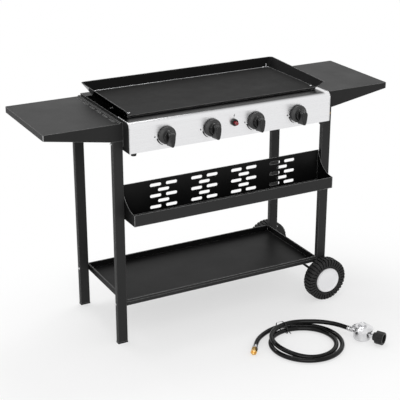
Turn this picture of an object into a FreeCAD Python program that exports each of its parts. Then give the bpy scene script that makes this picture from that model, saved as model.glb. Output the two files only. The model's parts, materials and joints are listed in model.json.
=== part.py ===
"""Outdoor gas griddle station: a flat plate over four tube burners on a wheeled tube stand.

Millimetres, +Z up, the floor at Z = 0, the control panel towards -Y, the wheels at +X.
Every piece is drawn about the middle of the four legs. The last step of each moves it along Y, so
that the origin lies midway between the tray's front and the back wheel's cap.
"""
import FreeCAD, Part
import math
import os

import Sketcher
from FreeCAD import Placement, Rotation, Vector

SIZES = {
    # Legs: rectangular tube, 40 wide and 20 deep.
    "leg_width": 40,
    "leg_depth": 20,
    "leg_wall": 1.5,
    "leg_corner": 3,
    "leg_spread": 894,
    "leg_gauge": 372,
    "left_leg_bottom": 6,
    "right_leg_bottom": 58,
    "plug_depth": 14,
    "plug_clearance": 0.2,
    "end_plug_cap": 3,
    # Fasteners.
    "bolt_radius": 2.5,
    "bolt_hole_radius": 2.8,
    "bolt_head_radius": 4.7,
    "bolt_head_depth": 3,
    "nut_radius": 4.6,
    "nut_depth": 4,
    "bolt_inset": 5,
    "shelf_bolt_height": 163,
    "box_bolt_rise": 26,
    "table_bolt_drop": 30,
    # Side tables.
    "table_step": 11,
    "table_sheet": 1.5,
    "table_reach": 726,
    "skirt_shallow": 22,
    "skirt_deep": 65,
    "skirt_flat": 43,
    "flange_depth": 88,
    "bead_width": 12,
    "bead_height": 4,
    "table_slot_length": 40,
    "table_slot_width": 6,
    "table_slot_pitch": 59.4,
    "table_slot_inset": 20,
    "table_slot_count": 6,
    # Burner box and control panel.
    "box_depth": 113,
    "box_sheet": 1.5,
    "panel_face": 245.5,
    "panel_sheet": 1.2,
    "panel_corner": 20,
    "panel_end_gap": 2.5,
    "panel_flange_end": 150,
    "firewall_face": 190,
    "rear_rim": 46,
    "box_foot_radius": 12,
    "box_foot_height": 13,
    "box_foot_inset": 25,
    "vent_width": 60,
    "vent_height": 8,
    # Griddle plate.
    "plate_top": 895,
    "plate_sheet": 5,
    "plate_end_gap": 26,
    "plate_front": 178,
    "plate_back": 171,
    "wall_height": 36,
    "wall_flare_side": 25.5,
    "wall_flare_back": 19,
    "wall_sheet": 3,
    "wall_drop": 10,
    "plate_lip_depth": 8,
    "plate_lip_sheet": 4,
    "plate_corner": 16,
    "plate_foot_height": 4,
    "plate_foot_radius": 9,
    "plate_foot_inset": 18,
    # Knobs and valves.
    "knob_pitch": 185,
    "knob_drop": 62,
    "knob_gap": 4,
    "knob_radius": 34,
    "knob_skirt": 11,
    "knob_depth": 41,
    "knob_boss": 24,
    "knob_boss_depth": 22,
    "grip_width": 16,
    "grip_length": 60,
    "stem_radius": 4,
    "stem_fit": 0.05,
    "stem_in_knob": 20,
    "stem_hole_radius": 7,
    "seat_radius": 7,
    "seat_depth": 2,
    "seat_front": 239,
    "collar_radius": 6,
    "collar_depth": 1.5,
    "bonnet_front": 237.5,
    "bonnet_radius": 11,
    "bonnet_recess": 5,
    "bonnet_depth": 15,
    "valve_block": 24,
    "valve_block_depth": 22,
    "orifice_radius": 3,
    "orifice_length": 24,
    # Manifold.
    "manifold_radius": 11,
    "manifold_drop": 30,
    "manifold_line": 214,
    "manifold_left": 305,
    "manifold_end_gap": 20,
    "boss_radius": 8,
    "inlet_radius": 7.9,
    "inlet_thread": 16,
    "inlet_hex": 12,
    # Burners.
    "burner_radius": 13,
    "burner_wall": 1.2,
    "burner_mouth": 17,
    "burner_end": 150,
    "burner_tab": 14,
    "burner_tab_depth": 6,
    "port_width": 2,
    "port_pitch": 35,
    "port_count": 8,
    "rest_depth": 12,
    # Igniter.
    "igniter_rise": 6,
    "igniter_collar_radius": 13,
    "igniter_collar_depth": 9,
    "igniter_body_radius": 11,
    "igniter_body_depth": 42,
    "button_radius": 7,
    "button_fit": 0.1,
    "button_proud": 24,
    "button_length": 36,
    "button_bore": 33,
    "spring_radius": 4,
    "spring_wire": 1,
    "electrode_radius": 3,
    "electrode_length": 44,
    "electrode_offset": 24,
    "electrode_rise": 20,
    # Bottom shelf and front tray.
    "shelf_top": 176,
    "shelf_depth": 25,
    "shelf_sheet": 1.5,
    "shelf_rim": 4,
    "shelf_hem": 10,
    "shelf_hem_step": 1.5,
    "shelf_gauge": 380,
    "tray_top": 634,
    "tray_bottom": 507,
    "tray_lip": 45,
    "tray_reach": 105,
    "tray_sheet": 1.5,
    "tray_sagitta": 24,
    "tray_slot_length": 46,
    "tray_slot_width": 12,
    "tray_slot_gap": 66,
    "tray_row_pitch": 21.75,
    "tray_row_top": 22,
    "tray_group_pitch": 172,
    "tray_screw_radius": 2.5,
    "tray_screw_head": 5,
    "tray_screw_low": 545,
    "tray_screw_high": 600,
    # Wheels and axle.
    "wheel_radius": 88,
    "wheel_width": 50,
    "wheel_offset": 32,
    "tyre_bore": 54,
    "tyre_shoulder": 6,
    "lug_count": 36,
    "lug_gap": 6,
    "lug_depth": 5,
    "wall_groove": 5,
    "rim_clearance": 0.1,
    "rim_wall": 4,
    "rim_web": 4,
    "hub_radius": 13,
    "axle_radius": 5,
    "axle_fit": 0.05,
    "axle_washer_radius": 12,
    "axle_washer": 2,
    "hub_gap": 0.2,
    "axle_nut_radius": 9,
    "axle_nut_depth": 7,
    "hub_cap_radius": 52,
    "hub_cap_sheet": 2,
    "hub_cap_proud": 4,
    # Gas hose, lying on the floor in front of the station.
    "hose_diameter": 18,
    "hose_lift": 1.5,
    "coil_x": 161,
    "coil_y": -534.5,
    "coil_turn": -28,
    "coil_radius": 138,
    "coil_step": 23,
    "coil_layer": 19.6,
    "lead_run": 32.5,
    "ferrule_radius": 11,
    "ferrule_length": 22,
    "nose_radius": 6,
    "nose_length": 12,
    "flare_nut_flats": 22,
    "flare_nut_length": 26,
    "regulator_radius": 41,
    "regulator_port": 43,
    "regulator_axis": 27,
    "handwheel_radius": 25,
    "handwheel_length": 42,
    "handwheel_start": 57,
    "nipple_radius": 9,
    "nipple_overlap": 9,
    "connection_radius": 16.7,
    "connection_depth": 18,
    "tie_band": 0.8,
    "tie_width": 4,
    "tie_grip": 0.5,
    "tie_place": 0.9,
    "tie_near": 118,
    "tie_far": 167,
}

doc = FreeCAD.newDocument("griddle_station")
sheet = doc.addObject("Spreadsheet::Sheet", "Sizes")
for row, (alias, number) in enumerate(SIZES.items(), 1):
    sheet.set(f"A{row}", alias)
    sheet.set(f"B{row}", str(number))
    sheet.setAlias(f"B{row}", alias)
doc.recompute()


class Size:
    """A length that knows its value and the sheet expression that gives it."""

    def __init__(self, value, text):
        self.value = float(value)
        self.text = text

    def __add__(self, other):
        other = as_size(other)
        return Size(self.value + other.value, f"({self.text} + {other.text})")

    def __sub__(self, other):
        other = as_size(other)
        return Size(self.value - other.value, f"({self.text} - {other.text})")

    def __mul__(self, other):
        other = as_size(other)
        return Size(self.value * other.value, f"({self.text} * {other.text})")

    def __truediv__(self, other):
        other = as_size(other)
        return Size(self.value / other.value, f"({self.text} / {other.text})")

    def __neg__(self):
        return self * -1

    def __radd__(self, other):
        return as_size(other) + self

    def __rsub__(self, other):
        return as_size(other) - self

    def __rmul__(self, other):
        return as_size(other) * self


def as_size(value):
    if isinstance(value, Size):
        return value
    return Size(value, f"({float(value)!r})")


class Named:
    """The driving sizes, read back from the sheet by name."""

    def __getattr__(self, alias):
        return Size(sheet.get(alias), f"Sizes.{alias}")


S = Named()
pieces = []

# Planes that several pieces share.
leg_x = S.leg_spread / 2
leg_y = S.leg_gauge / 2
leg_inner = leg_x - S.leg_width / 2
leg_outer = leg_x + S.leg_width / 2
leg_face = leg_y + S.leg_depth / 2
box_top = S.plate_top - S.plate_sheet - S.plate_foot_height
box_bottom = box_top - S.box_depth
table_top = box_top - S.table_step
leg_top = table_top - S.table_sheet
knob_height = box_top - S.knob_drop
igniter_height = knob_height + S.igniter_rise
box_bolt_height = box_bottom + S.box_bolt_rise
table_bolt_height = table_top - S.table_bolt_drop
bolt_y = leg_y - S.bolt_inset
box_half = leg_inner - S.table_sheet
box_inner = box_half - S.box_sheet
panel_half = box_inner - S.panel_end_gap
plate_half = box_inner - S.plate_end_gap
manifold_right = box_inner - S.manifold_end_gap
tray_back = leg_y - S.leg_depth / 2
tray_front = tray_back + S.tray_reach
wheel_y = leg_face + S.wheel_offset
wheel_outer = wheel_y + S.wheel_width / 2 + S.hub_cap_proud
shift_y = (tray_front - wheel_outer) / 2
knob_places = [S.knob_pitch * step for step in (-1.5, -0.5, 0.5, 1.5)]
front = Rotation(Vector(1, 0, 0), 90)
back = Rotation(Vector(1, 0, 0), -90)
sideways = Rotation(Vector(0, 1, 0), 90)


def bind(obj, prop, value):
    """Give a property its size and keep it tied to the sheet."""
    obj.setExpression(prop, as_size(value).text)


def put(obj, x=0, y=0, z=0, rotation=None):
    """Place an object, its three coordinates tied to the sheet."""
    if rotation is not None:
        obj.Placement = Placement(Vector(), rotation)
    bind(obj, "Placement.Base.x", x)
    bind(obj, "Placement.Base.y", y)
    bind(obj, "Placement.Base.z", z)
    return obj


def piece(obj, label, x=0, y=0, z=0, rotation=None):
    """Finish a sub-part: its own name, and its place in the station's frame."""
    obj.Label = label
    put(obj, x, y + shift_y, z, rotation)
    pieces.append(obj)
    return obj


def block(name, width, depth, height, x=0, y=0, z=0):
    """A box centred on x and y, standing on z."""
    obj = doc.addObject("Part::Box", name)
    bind(obj, "Length", width)
    bind(obj, "Width", depth)
    bind(obj, "Height", height)
    return put(obj, x - as_size(width) / 2, y - as_size(depth) / 2, z)


def cylinder(name, radius, height, x=0, y=0, z=0, rotation=None):
    obj = doc.addObject("Part::Cylinder", name)
    bind(obj, "Radius", radius)
    bind(obj, "Height", height)
    return put(obj, x, y, z, rotation)


def hexagon(name, flats, height, x=0, y=0, z=0, rotation=None):
    """A hexagonal prism, given across its flats."""
    obj = doc.addObject("Part::Prism", name)
    obj.Polygon = 6
    bind(obj, "Circumradius", as_size(flats) / math.sqrt(3))
    bind(obj, "Height", height)
    return put(obj, x, y, z, rotation)


def fuse(name, *objs):
    obj = doc.addObject("Part::MultiFuse", name)
    obj.Shapes = list(objs)
    return obj


def cut(name, base, tool):
    obj = doc.addObject("Part::Cut", name)
    obj.Base = base
    obj.Tool = tool
    return obj


def together(name, objs):
    """Identical separate solids that share one node."""
    obj = doc.addObject("Part::Compound", name)
    obj.Links = list(objs)
    return obj


def sketch(body, role, offset=0):
    """A sketch on one of the body's own origin planes, moved along its normal."""
    obj = body.newObject("Sketcher::SketchObject", "Sketch")
    plane = [item for item in body.Origin.OriginFeatures if item.Role == role][0]
    obj.AttachmentSupport = [(plane, "")]
    obj.MapMode = "FlatFace"
    bind(obj, "AttachmentOffset.Base.z", offset)
    return obj


def pin(sk, item, end, x, y):
    """Tie a point of a sketch to the origin by its two distances."""
    for kind, axis, value in (("DistanceX", -2, as_size(x)), ("DistanceY", -1, as_size(y))):
        if abs(value.value) < 1e-9:
            sk.addConstraint(Sketcher.Constraint("PointOnObject", item, end, axis))
        else:
            index = sk.addConstraint(Sketcher.Constraint(kind, -1, 1, item, end, value.value))
            sk.setExpression(f"Constraints[{index}]", value.text)


def spot(x, y):
    return Vector(as_size(x).value, as_size(y).value, 0)


def outline(sk, points):
    """A closed outline of straight lines through the given points."""
    first = sk.GeometryCount
    count = len(points)
    for index in range(count):
        start = spot(*points[index])
        sk.addGeometry(Part.LineSegment(start, spot(*points[(index + 1) % count])), False)
    for index in range(count):
        following = first + (index + 1) % count
        sk.addConstraint(Sketcher.Constraint("Coincident", first + index, 2, following, 1))
    for index, (x, y) in enumerate(points):
        pin(sk, first + index, 1, x, y)


def rectangle(sk, x0, x1, y0, y1):
    outline(sk, [(x0, y0), (x1, y0), (x1, y1), (x0, y1)])


def circle(sk, x, y, radius):
    item = sk.addGeometry(Part.Circle(spot(x, y), Vector(0, 0, 1), as_size(radius).value), False)
    pin(sk, item, 3, x, y)
    index = sk.addConstraint(Sketcher.Constraint("Radius", item, as_size(radius).value))
    sk.setExpression(f"Constraints[{index}]", as_size(radius).text)


def obround(sk, x, y, length, width, upright=False):
    """A slot with round ends, centred on x and y."""
    half = (as_size(length) - width) / 2
    radius = as_size(width) / 2
    x, y = as_size(x), as_size(y)
    quarter = math.pi / 2
    if upright:
        ends = [(x, y + half, 0, 2 * quarter), (x, y - half, 2 * quarter, 4 * quarter)]
        side = Vector(radius.value, 0, 0)
    else:
        ends = [(x - half, y, quarter, 3 * quarter), (x + half, y, -quarter, quarter)]
        side = Vector(0, -radius.value, 0)
    arcs = []
    for cx, cy, start, stop in ends:
        round_end = Part.Circle(spot(cx, cy), Vector(0, 0, 1), radius.value)
        arcs.append(sk.addGeometry(Part.ArcOfCircle(round_end, start, stop), False))
    one, two = spot(*ends[0][:2]), spot(*ends[1][:2])
    near = sk.addGeometry(Part.LineSegment(one + side, two + side), False)
    far = sk.addGeometry(Part.LineSegment(two - side, one - side), False)
    joins = [(arcs[0], 2, near, 1), (near, 2, arcs[1], 1), (arcs[1], 2, far, 1), (far, 2, arcs[0], 1)]
    if upright:
        joins = [(arcs[0], 1, near, 1), (near, 2, arcs[1], 2), (arcs[1], 1, far, 1), (far, 2, arcs[0], 2)]
    for join in joins:
        sk.addConstraint(Sketcher.Constraint("Tangent", *join))
    for arc, (cx, cy, _, _) in zip(arcs, ends):
        pin(sk, arc, 3, cx, cy)
        index = sk.addConstraint(Sketcher.Constraint("Radius", arc, radius.value))
        sk.setExpression(f"Constraints[{index}]", radius.text)


def pad(body, sk, length, both=False, reverse=False):
    obj = body.newObject("PartDesign::Pad", "Pad")
    obj.Profile = sk
    bind(obj, "Length", length)
    obj.Midplane = both
    obj.Reversed = reverse
    return obj


def pocket(body, sk, length, both=False, reverse=False):
    """Cut to a depth against the sketch's normal, or along it if reversed."""
    obj = body.newObject("PartDesign::Pocket", "Pocket")
    obj.Profile = sk
    bind(obj, "Length", length)
    obj.Midplane = both
    obj.Reversed = reverse
    return obj


def revolve(body, sk):
    """A full turn about the sketch's upright axis."""
    obj = body.newObject("PartDesign::Revolution", "Revolution")
    obj.Profile = sk
    obj.ReferenceAxis = (sk, ["V_Axis"])
    obj.Angle = 360
    return obj


def edges(feature, wanted):
    """The names of a feature's straight edges whose middle and direction pass the test."""
    doc.recompute()
    names = []
    for index, edge in enumerate(feature.Shape.Edges, 1):
        ends = [vertex.Point for vertex in edge.Vertexes]
        if len(ends) == 2 and abs(edge.Length - ends[0].distanceToPoint(ends[1])) < 1e-6:
            middle = (ends[0] + ends[1]) / 2
            run = ends[1] - ends[0]
            if wanted(middle, run):
                names.append(f"Edge{index}")
    return names


def along(run, axis):
    """Whether a direction lies along X, Y or Z."""
    others = [abs(part) for index, part in enumerate(run) if index != axis]
    return max(others) < 1e-6


def near(value, size):
    return abs(value - as_size(size).value) < 1e-3


def fillet(body, feature, names, radius):
    obj = body.newObject("PartDesign::Fillet", "Fillet")
    obj.Base = (feature, names)
    bind(obj, "Radius", radius)
    return obj


def repeat_along(body, features, sk, axis, length, count):
    obj = body.newObject("PartDesign::LinearPattern", "LinearPattern")
    obj.Originals = features
    obj.Direction = (sk, [axis])
    bind(obj, "Length", length)
    bind(obj, "Occurrences", count)
    body.Tip = obj
    return obj


def repeat_round(body, features, sk, count):
    obj = body.newObject("PartDesign::PolarPattern", "PolarPattern")
    obj.Originals = features
    obj.Axis = (sk, ["N_Axis"])
    obj.Angle = 360
    bind(obj, "Occurrences", count)
    body.Tip = obj
    return obj


def new_body(name):
    return doc.addObject("PartDesign::Body", name)


def leg(label, side, end):
    """A tube leg with its bolt holes, and on the wheel side the holes for the axle."""
    bottom = S.left_leg_bottom if side < 0 else S.right_leg_bottom
    half_x, half_y = S.leg_width / 2, S.leg_depth / 2
    body = new_body(label)
    outer = sketch(body, "XY_Plane", bottom)
    rectangle(outer, -half_x, half_x, -half_y, half_y)
    tube = pad(body, outer, leg_top - bottom)
    corners = edges(tube, lambda middle, run: along(run, 2))
    fillet(body, tube, corners, S.leg_corner)
    inner = sketch(body, "XY_Plane", leg_top)
    wall_x, wall_y = half_x - S.leg_wall, half_y - S.leg_wall
    rectangle(inner, -wall_x, wall_x, -wall_y, wall_y)
    pocket(body, inner, leg_top - bottom)
    bolts = sketch(body, "YZ_Plane")
    for height in (S.shelf_bolt_height, box_bolt_height, table_bolt_height):
        circle(bolts, -end * S.bolt_inset, height, S.bolt_hole_radius)
    pocket(body, bolts, S.leg_width * 2, both=True)
    if end < 0:
        screws = sketch(body, "YZ_Plane")
        for height in (S.tray_screw_low, S.tray_screw_high):
            circle(screws, 0, height, S.tray_screw_radius + 0.1)
        pocket(body, screws, S.leg_width, reverse=side < 0)
    if side > 0:
        bore = sketch(body, "XZ_Plane")
        circle(bore, 0, S.wheel_radius, S.axle_radius + S.axle_fit)
        pocket(body, bore, S.leg_depth * 2, both=True)
    piece(body, label, side * leg_x, end * leg_y)


def plugs(label, side, bottom, cap):
    """Moulded plugs that close two legs' lower ends, their caps as wide as the tube."""
    made = []
    inside = S.leg_wall + S.plug_clearance
    for end in (-1, 1):
        x, y = side * leg_x, end * leg_y
        plate = block("Cap", S.leg_width, S.leg_depth, cap, x, y, bottom - cap)
        width, depth = S.leg_width - 2 * inside, S.leg_depth - 2 * inside
        insert = block("Insert", width, depth, S.plug_depth, x, y, bottom)
        made.append(fuse("Plug", plate, insert))
    piece(together(label, made), label)


def table(label, side):
    """A folded sheet table: tapered skirts front and back, and an inner flange beside the legs."""
    body = new_body(label)
    top, outer = table_top, S.table_reach
    taper = leg_inner + S.skirt_flat
    profile = [
        (outer, top),
        (outer, top - S.skirt_shallow),
        (taper, top - S.skirt_deep),
        (leg_inner, top - S.skirt_deep),
        (leg_inner, top - S.flange_depth),
        (box_half, top - S.flange_depth),
        (box_half, top + S.bead_height * 0.4),
        (box_half + S.bead_width * 0.2, top + S.bead_height),
        (box_half + S.bead_width * 0.7, top + S.bead_height),
        (box_half + S.bead_width, top),
    ]
    face = sketch(body, "XZ_Plane")
    outline(face, [(side * x, z) for x, z in profile])
    depth = 2 * (leg_face + S.table_sheet)
    solid = pad(body, face, depth, both=True)
    corner = edges(solid, lambda middle, run: along(run, 2) and near(abs(middle.x), outer))
    fillet(body, solid, corner, 4 * S.table_sheet)
    under = sketch(body, "XY_Plane", top - S.table_sheet)
    far = outer - S.table_sheet
    rectangle(under, side * leg_inner, side * far, -leg_face, leg_face)
    pocket(body, under, S.skirt_deep * 2)
    line = side * (leg_inner + S.table_slot_inset)
    first = -S.table_slot_pitch * (S.table_slot_count - 1) / 2
    hole = sketch(body, "XY_Plane", top)
    obround(hole, line, first, S.table_slot_length, S.table_slot_width, upright=True)
    one = pocket(body, hole, S.table_sheet * 2)
    reach = S.table_slot_pitch * (S.table_slot_count - 1)
    repeat_along(body, [one], hole, "V_Axis", reach, S.table_slot_count)
    holes = sketch(body, "YZ_Plane")
    for end in (-1, 1):
        for height in (box_bolt_height, table_bolt_height):
            circle(holes, end * bolt_y, height, S.bolt_hole_radius)
    pocket(body, holes, S.table_reach, reverse=side > 0)
    piece(body, label)


def burner_box():
    """The open sheet box: cheeks that reach the panel, a firewall, a rear rim and a vented back."""
    body = new_body("burner_box")
    side = sketch(body, "YZ_Plane")
    rectangle(side, -S.panel_face, leg_face, box_bottom, box_top)
    solid = pad(body, side, 2 * box_half, both=True)
    corner = edges(solid, lambda middle, run: along(run, 0)
                   and near(middle.y, -S.panel_face) and near(middle.z, box_top))
    fillet(body, solid, corner, S.panel_corner)
    deep = box_top - box_bottom - S.box_sheet
    fire = sketch(body, "XY_Plane", box_top)
    wall = S.firewall_face - S.box_sheet
    rectangle(fire, -box_inner, box_inner, -wall, leg_face - S.box_sheet)
    pocket(body, fire, deep)
    bay = sketch(body, "XY_Plane", box_top)
    rectangle(bay, -box_inner, box_inner, -2 * S.panel_face, -S.firewall_face)
    pocket(body, bay, deep)
    seat = sketch(body, "XY_Plane", box_top)
    rectangle(seat, -box_inner, box_inner, -2 * S.panel_face, S.panel_sheet - S.panel_face)
    pocket(body, seat, 2 * deep)
    lower = sketch(body, "XY_Plane", box_top)
    rectangle(lower, -box_inner, box_inner, -S.firewall_face - 1, -wall)
    pocket(body, lower, S.panel_sheet)
    rim = sketch(body, "XY_Plane", box_top)
    rectangle(rim, -box_inner, box_inner, leg_face - S.rear_rim, leg_face - S.box_sheet)
    pad(body, rim, S.box_sheet, reverse=True)
    holes = sketch(body, "XZ_Plane", wall)
    for place in knob_places:
        circle(holes, place, knob_height, S.burner_radius - 2 * S.burner_wall)
        circle(holes, place + S.electrode_offset, knob_height + S.electrode_rise, S.electrode_radius + 0.3)
    pocket(body, holes, 2 * S.box_sheet, both=True)
    bolts = sketch(body, "YZ_Plane")
    for end in (-1, 1):
        for height in (box_bolt_height, table_bolt_height):
            circle(bolts, end * bolt_y, height, S.bolt_hole_radius)
    pocket(body, bolts, 3 * box_half, both=True)
    vents = sketch(body, "XZ_Plane", -leg_face)
    for place in knob_places:
        for level in (0.3, 0.5):
            height = box_bottom + (box_top - box_bottom) * level
            obround(vents, place, height, S.vent_width, S.vent_height)
    pocket(body, vents, 2 * S.box_sheet, both=True)
    inlet = sketch(body, "YZ_Plane", box_half)
    circle(inlet, -S.manifold_line, knob_height - S.manifold_drop, S.inlet_hex)
    pocket(body, inlet, 4 * S.box_sheet, both=True)
    piece(body, "burner_box")


def control_panel():
    """A folded stainless panel: upright face, round top corner and a flange under the plate."""
    body = new_body("control_panel")
    section = sketch(body, "YZ_Plane")
    face, sheet_size = S.panel_face, S.panel_sheet
    outline(section, [
        (-face, box_bottom),
        (sheet_size - face, box_bottom),
        (sheet_size - face, box_top - sheet_size),
        (-S.panel_flange_end, box_top - sheet_size),
        (-S.panel_flange_end, box_top),
        (-face, box_top),
    ])
    solid = pad(body, section, 2 * panel_half, both=True)
    outer = edges(solid, lambda middle, run: along(run, 0)
                  and near(middle.y, -face) and near(middle.z, box_top))
    rounded = fillet(body, solid, outer, S.panel_corner)
    inner = edges(rounded, lambda middle, run: along(run, 0)
                  and near(middle.y, sheet_size - face) and near(middle.z, box_top - sheet_size))
    fillet(body, rounded, inner, S.panel_corner - sheet_size)
    holes = sketch(body, "XZ_Plane", face)
    for place in knob_places:
        circle(holes, place, knob_height, S.stem_hole_radius)
    circle(holes, 0, igniter_height, S.igniter_body_radius * 0.85)
    pocket(body, holes, 8 * sheet_size, both=True)
    piece(body, "control_panel")


def box_feet():
    made = []
    for side in (-1, 1):
        for y in (S.box_foot_inset * 0.7 - S.panel_face, leg_face - S.box_foot_inset):
            foot = doc.addObject("Part::Cone", "Foot")
            bind(foot, "Radius1", S.box_foot_radius * 0.8)
            bind(foot, "Radius2", S.box_foot_radius)
            bind(foot, "Height", S.box_foot_height)
            put(foot, side * (box_half - S.box_foot_inset), y, box_bottom - S.box_foot_height)
            made.append(foot)
    piece(together("box_feet", made), "box_feet")


def loft(body, kind, lower, upper):
    obj = body.newObject(f"PartDesign::{kind}Loft", "Loft")
    obj.Profile = lower
    obj.Sections = [upper]
    obj.Ruled = True
    return obj


def griddle_plate():
    """The cooking plate: a pan with walls flared outwards on three sides and open in front."""

    def leaning(middle, run):
        return abs(run.z) > 1 and abs(run.x) > 1 and abs(run.y) > 1 and middle.y > 0

    body = new_body("griddle_plate")
    rear_middle = number_of(S.plate_back + S.wall_flare_back / 2 + S.wall_sheet / 4)
    bottom = S.plate_top - S.plate_sheet
    rim = S.plate_top + S.wall_height
    half = plate_half
    rise = (S.wall_height + S.plate_sheet) / S.wall_height
    side, rear = S.wall_flare_side * rise, S.wall_flare_back * rise
    foot = half + S.wall_sheet - S.wall_flare_side * (rise - 1)
    heel = S.plate_back + S.wall_sheet - S.wall_flare_back * (rise - 1)
    lower = sketch(body, "XY_Plane", bottom)
    rectangle(lower, -foot, foot, -S.plate_front, heel)
    upper = sketch(body, "XY_Plane", rim)
    wide = foot + side
    rectangle(upper, -wide, wide, -S.plate_front - rear * 2, heel + rear)
    loft(body, "Additive", lower, upper)
    floor = sketch(body, "XY_Plane", S.plate_top)
    long = 4 * S.wall_height
    rectangle(floor, -half, half, -S.plate_front - long, S.plate_back)
    mouth = sketch(body, "XY_Plane", rim)
    across = half + S.wall_flare_side
    rectangle(mouth, -across, across, -S.plate_front - long, S.plate_back + S.wall_flare_back)
    loft(body, "Subtractive", floor, mouth)
    slope = sketch(body, "YZ_Plane")
    outline(slope, [
        (S.plate_back + S.wall_flare_back * 2, rim),
        (-S.plate_front - S.wall_height, rim - S.wall_drop),
        (-S.plate_front - S.wall_height * 3, rim - S.wall_drop),
        (-S.plate_front - S.wall_height * 3, rim + S.wall_height),
        (S.plate_back + S.wall_flare_back * 2, rim + S.wall_height),
    ])
    wall = pocket(body, slope, 6 * half, both=True)
    inner = edges(wall, lambda middle, run: leaning(middle, run) and middle.y < rear_middle)
    wall = fillet(body, wall, inner, S.plate_corner)
    outer = edges(wall, lambda middle, run: leaning(middle, run) and middle.y > rear_middle)
    fillet(body, wall, outer, S.plate_corner + S.wall_sheet)
    lip = sketch(body, "XY_Plane", S.plate_top)
    rectangle(lip, -half, half, -S.plate_front - 0.4 * S.plate_lip_sheet, S.plate_lip_sheet - S.plate_front)
    pad(body, lip, S.plate_lip_depth, reverse=True)
    piece(body, "griddle_plate")


def plate_feet():
    made = []
    for side in (-1, 1):
        for y in (S.plate_foot_inset - S.plate_front, S.plate_back - S.plate_foot_inset):
            x = side * (plate_half - S.plate_foot_inset)
            made.append(cylinder("Foot", S.plate_foot_radius, S.plate_foot_height, x, y, box_top))
    piece(together("plate_feet", made), "plate_feet")


def knob(number, place):
    """A control knob: flared skirt, tapered boss, tall grip bar and a bore for the valve stem."""
    label = f"knob_{number}"
    body = new_body(label)
    section = sketch(body, "XZ_Plane")
    radius, skirt = S.knob_radius, S.knob_skirt
    outline(section, [
        (0, 0),
        (radius, 0),
        (radius, skirt * 0.4),
        (radius * 0.94, skirt),
        (S.knob_boss * 1.12, skirt * 1.15),
        (S.knob_boss, S.knob_boss_depth),
        (0, S.knob_boss_depth),
    ])
    revolve(body, section)
    grip = sketch(body, "XY_Plane")
    half, width = S.grip_length / 2, S.grip_width / 2
    outline(grip, [
        (-width * 0.6, -half),
        (width * 0.6, -half),
        (width * 1.1, -half * 0.55),
        (width, half * 0.4),
        (width * 0.55, half),
        (-width * 0.55, half),
        (-width, half * 0.4),
        (-width * 1.1, -half * 0.55),
    ])
    bar = pad(body, grip, S.knob_depth)
    top = edges(bar, lambda middle, run: near(middle.z, S.knob_depth))
    fillet(body, bar, top, S.grip_width * 0.16)
    bore = sketch(body, "XY_Plane")
    circle(bore, 0, 0, S.stem_radius + S.stem_fit)
    pocket(body, bore, S.stem_in_knob, reverse=True)
    piece(body, label, place, -S.panel_face - S.knob_gap, knob_height, front)


def valve_stem(number, place):
    """The stem between knob and valve, with the collar that pushes the spring seat."""
    label = f"valve_stem_{number}"
    tip = S.panel_face + S.knob_gap + S.stem_in_knob
    tail = S.bonnet_front - S.bonnet_depth + 4
    rod = cylinder("Rod", S.stem_radius, tip - tail, place, -tail, knob_height, front)
    collar = cylinder("Collar", S.collar_radius, S.collar_depth, place, -S.seat_front, knob_height, front)
    piece(fuse(label, rod, collar), label)


def spring_seat(number, place):
    """The ring that the stem's collar pushes into the bonnet, against the valve's spring."""
    label = f"valve_spring_seat_{number}"
    ring = cylinder("Ring", S.seat_radius, S.seat_depth, place, S.seat_depth - S.seat_front, knob_height, front)
    bore = cylinder("Bore", S.stem_radius + S.stem_fit, 3 * S.seat_depth,
                    place, 2 * S.seat_depth - S.seat_front, knob_height, front)
    piece(cut(label, ring, bore), label)


def gas_valves():
    """Brass valves on the manifold: bonnet towards the panel, orifice towards the burner."""
    made = []
    height = knob_height
    rear = S.bonnet_front - S.bonnet_depth
    block_back = rear - S.valve_block_depth
    for place in knob_places:
        bonnet = cylinder("Bonnet", S.bonnet_radius, S.bonnet_depth, place, -rear, height, front)
        middle = (rear + block_back) / 2
        core = block("Core", S.valve_block, S.valve_block_depth, S.valve_block,
                     place, -middle, height - S.valve_block / 2)
        orifice = cylinder("Orifice", S.orifice_radius, S.orifice_length, place, -block_back, height, back)
        solid = fuse("Valve", bonnet, core, orifice)
        recess = cylinder("Recess", S.seat_radius + 0.3, S.bonnet_recess,
                          place, S.bonnet_recess - S.bonnet_front, height, front)
        bore = cylinder("Bore", S.stem_radius + S.stem_fit, S.bonnet_depth,
                        place, -rear, height, front)
        made.append(cut("Valve", solid, fuse("Hollow", recess, bore)))
    piece(together("gas_valves", made), "gas_valves")


def manifold():
    """The gas pipe behind the panel, with a boss under each valve and two feet on the box."""
    height = knob_height - S.manifold_drop
    line = -S.manifold_line
    length = S.manifold_left + manifold_right
    parts = [cylinder("Pipe", S.manifold_radius, length, -S.manifold_left, line, height, sideways)]
    boss = S.manifold_drop - S.valve_block / 2
    for place in knob_places:
        parts.append(cylinder("Boss", S.boss_radius, boss, place, line, height))
    floor = box_bottom + S.box_sheet
    for step in (-1, 1):
        parts.append(block("Stand", 20, S.manifold_radius, height - floor, step * S.knob_pitch, line, floor))
    piece(fuse("gas_manifold", *parts), "gas_manifold")


def inlet_fitting():
    """The male flare fitting that takes the hose's nut, pointing out through the right cheek."""
    start, tip = manifold_right, box_half + S.inlet_hex * 0.2 + S.inlet_thread
    y, height = -S.manifold_line, knob_height - S.manifold_drop
    thread = cylinder("Thread", S.inlet_radius, tip - start, start, y, height, sideways)
    waist = S.inlet_hex * 0.6
    collar = hexagon("Hexagon", S.inlet_hex * 1.5, waist, tip - S.inlet_thread - waist, y, height, sideways)
    bore = cylinder("Bore", S.inlet_radius * 0.45, S.inlet_thread, tip - S.inlet_thread, y, height, sideways)
    piece(cut("gas_inlet", fuse("Fitting", thread, collar), bore), "gas_inlet")


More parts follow.
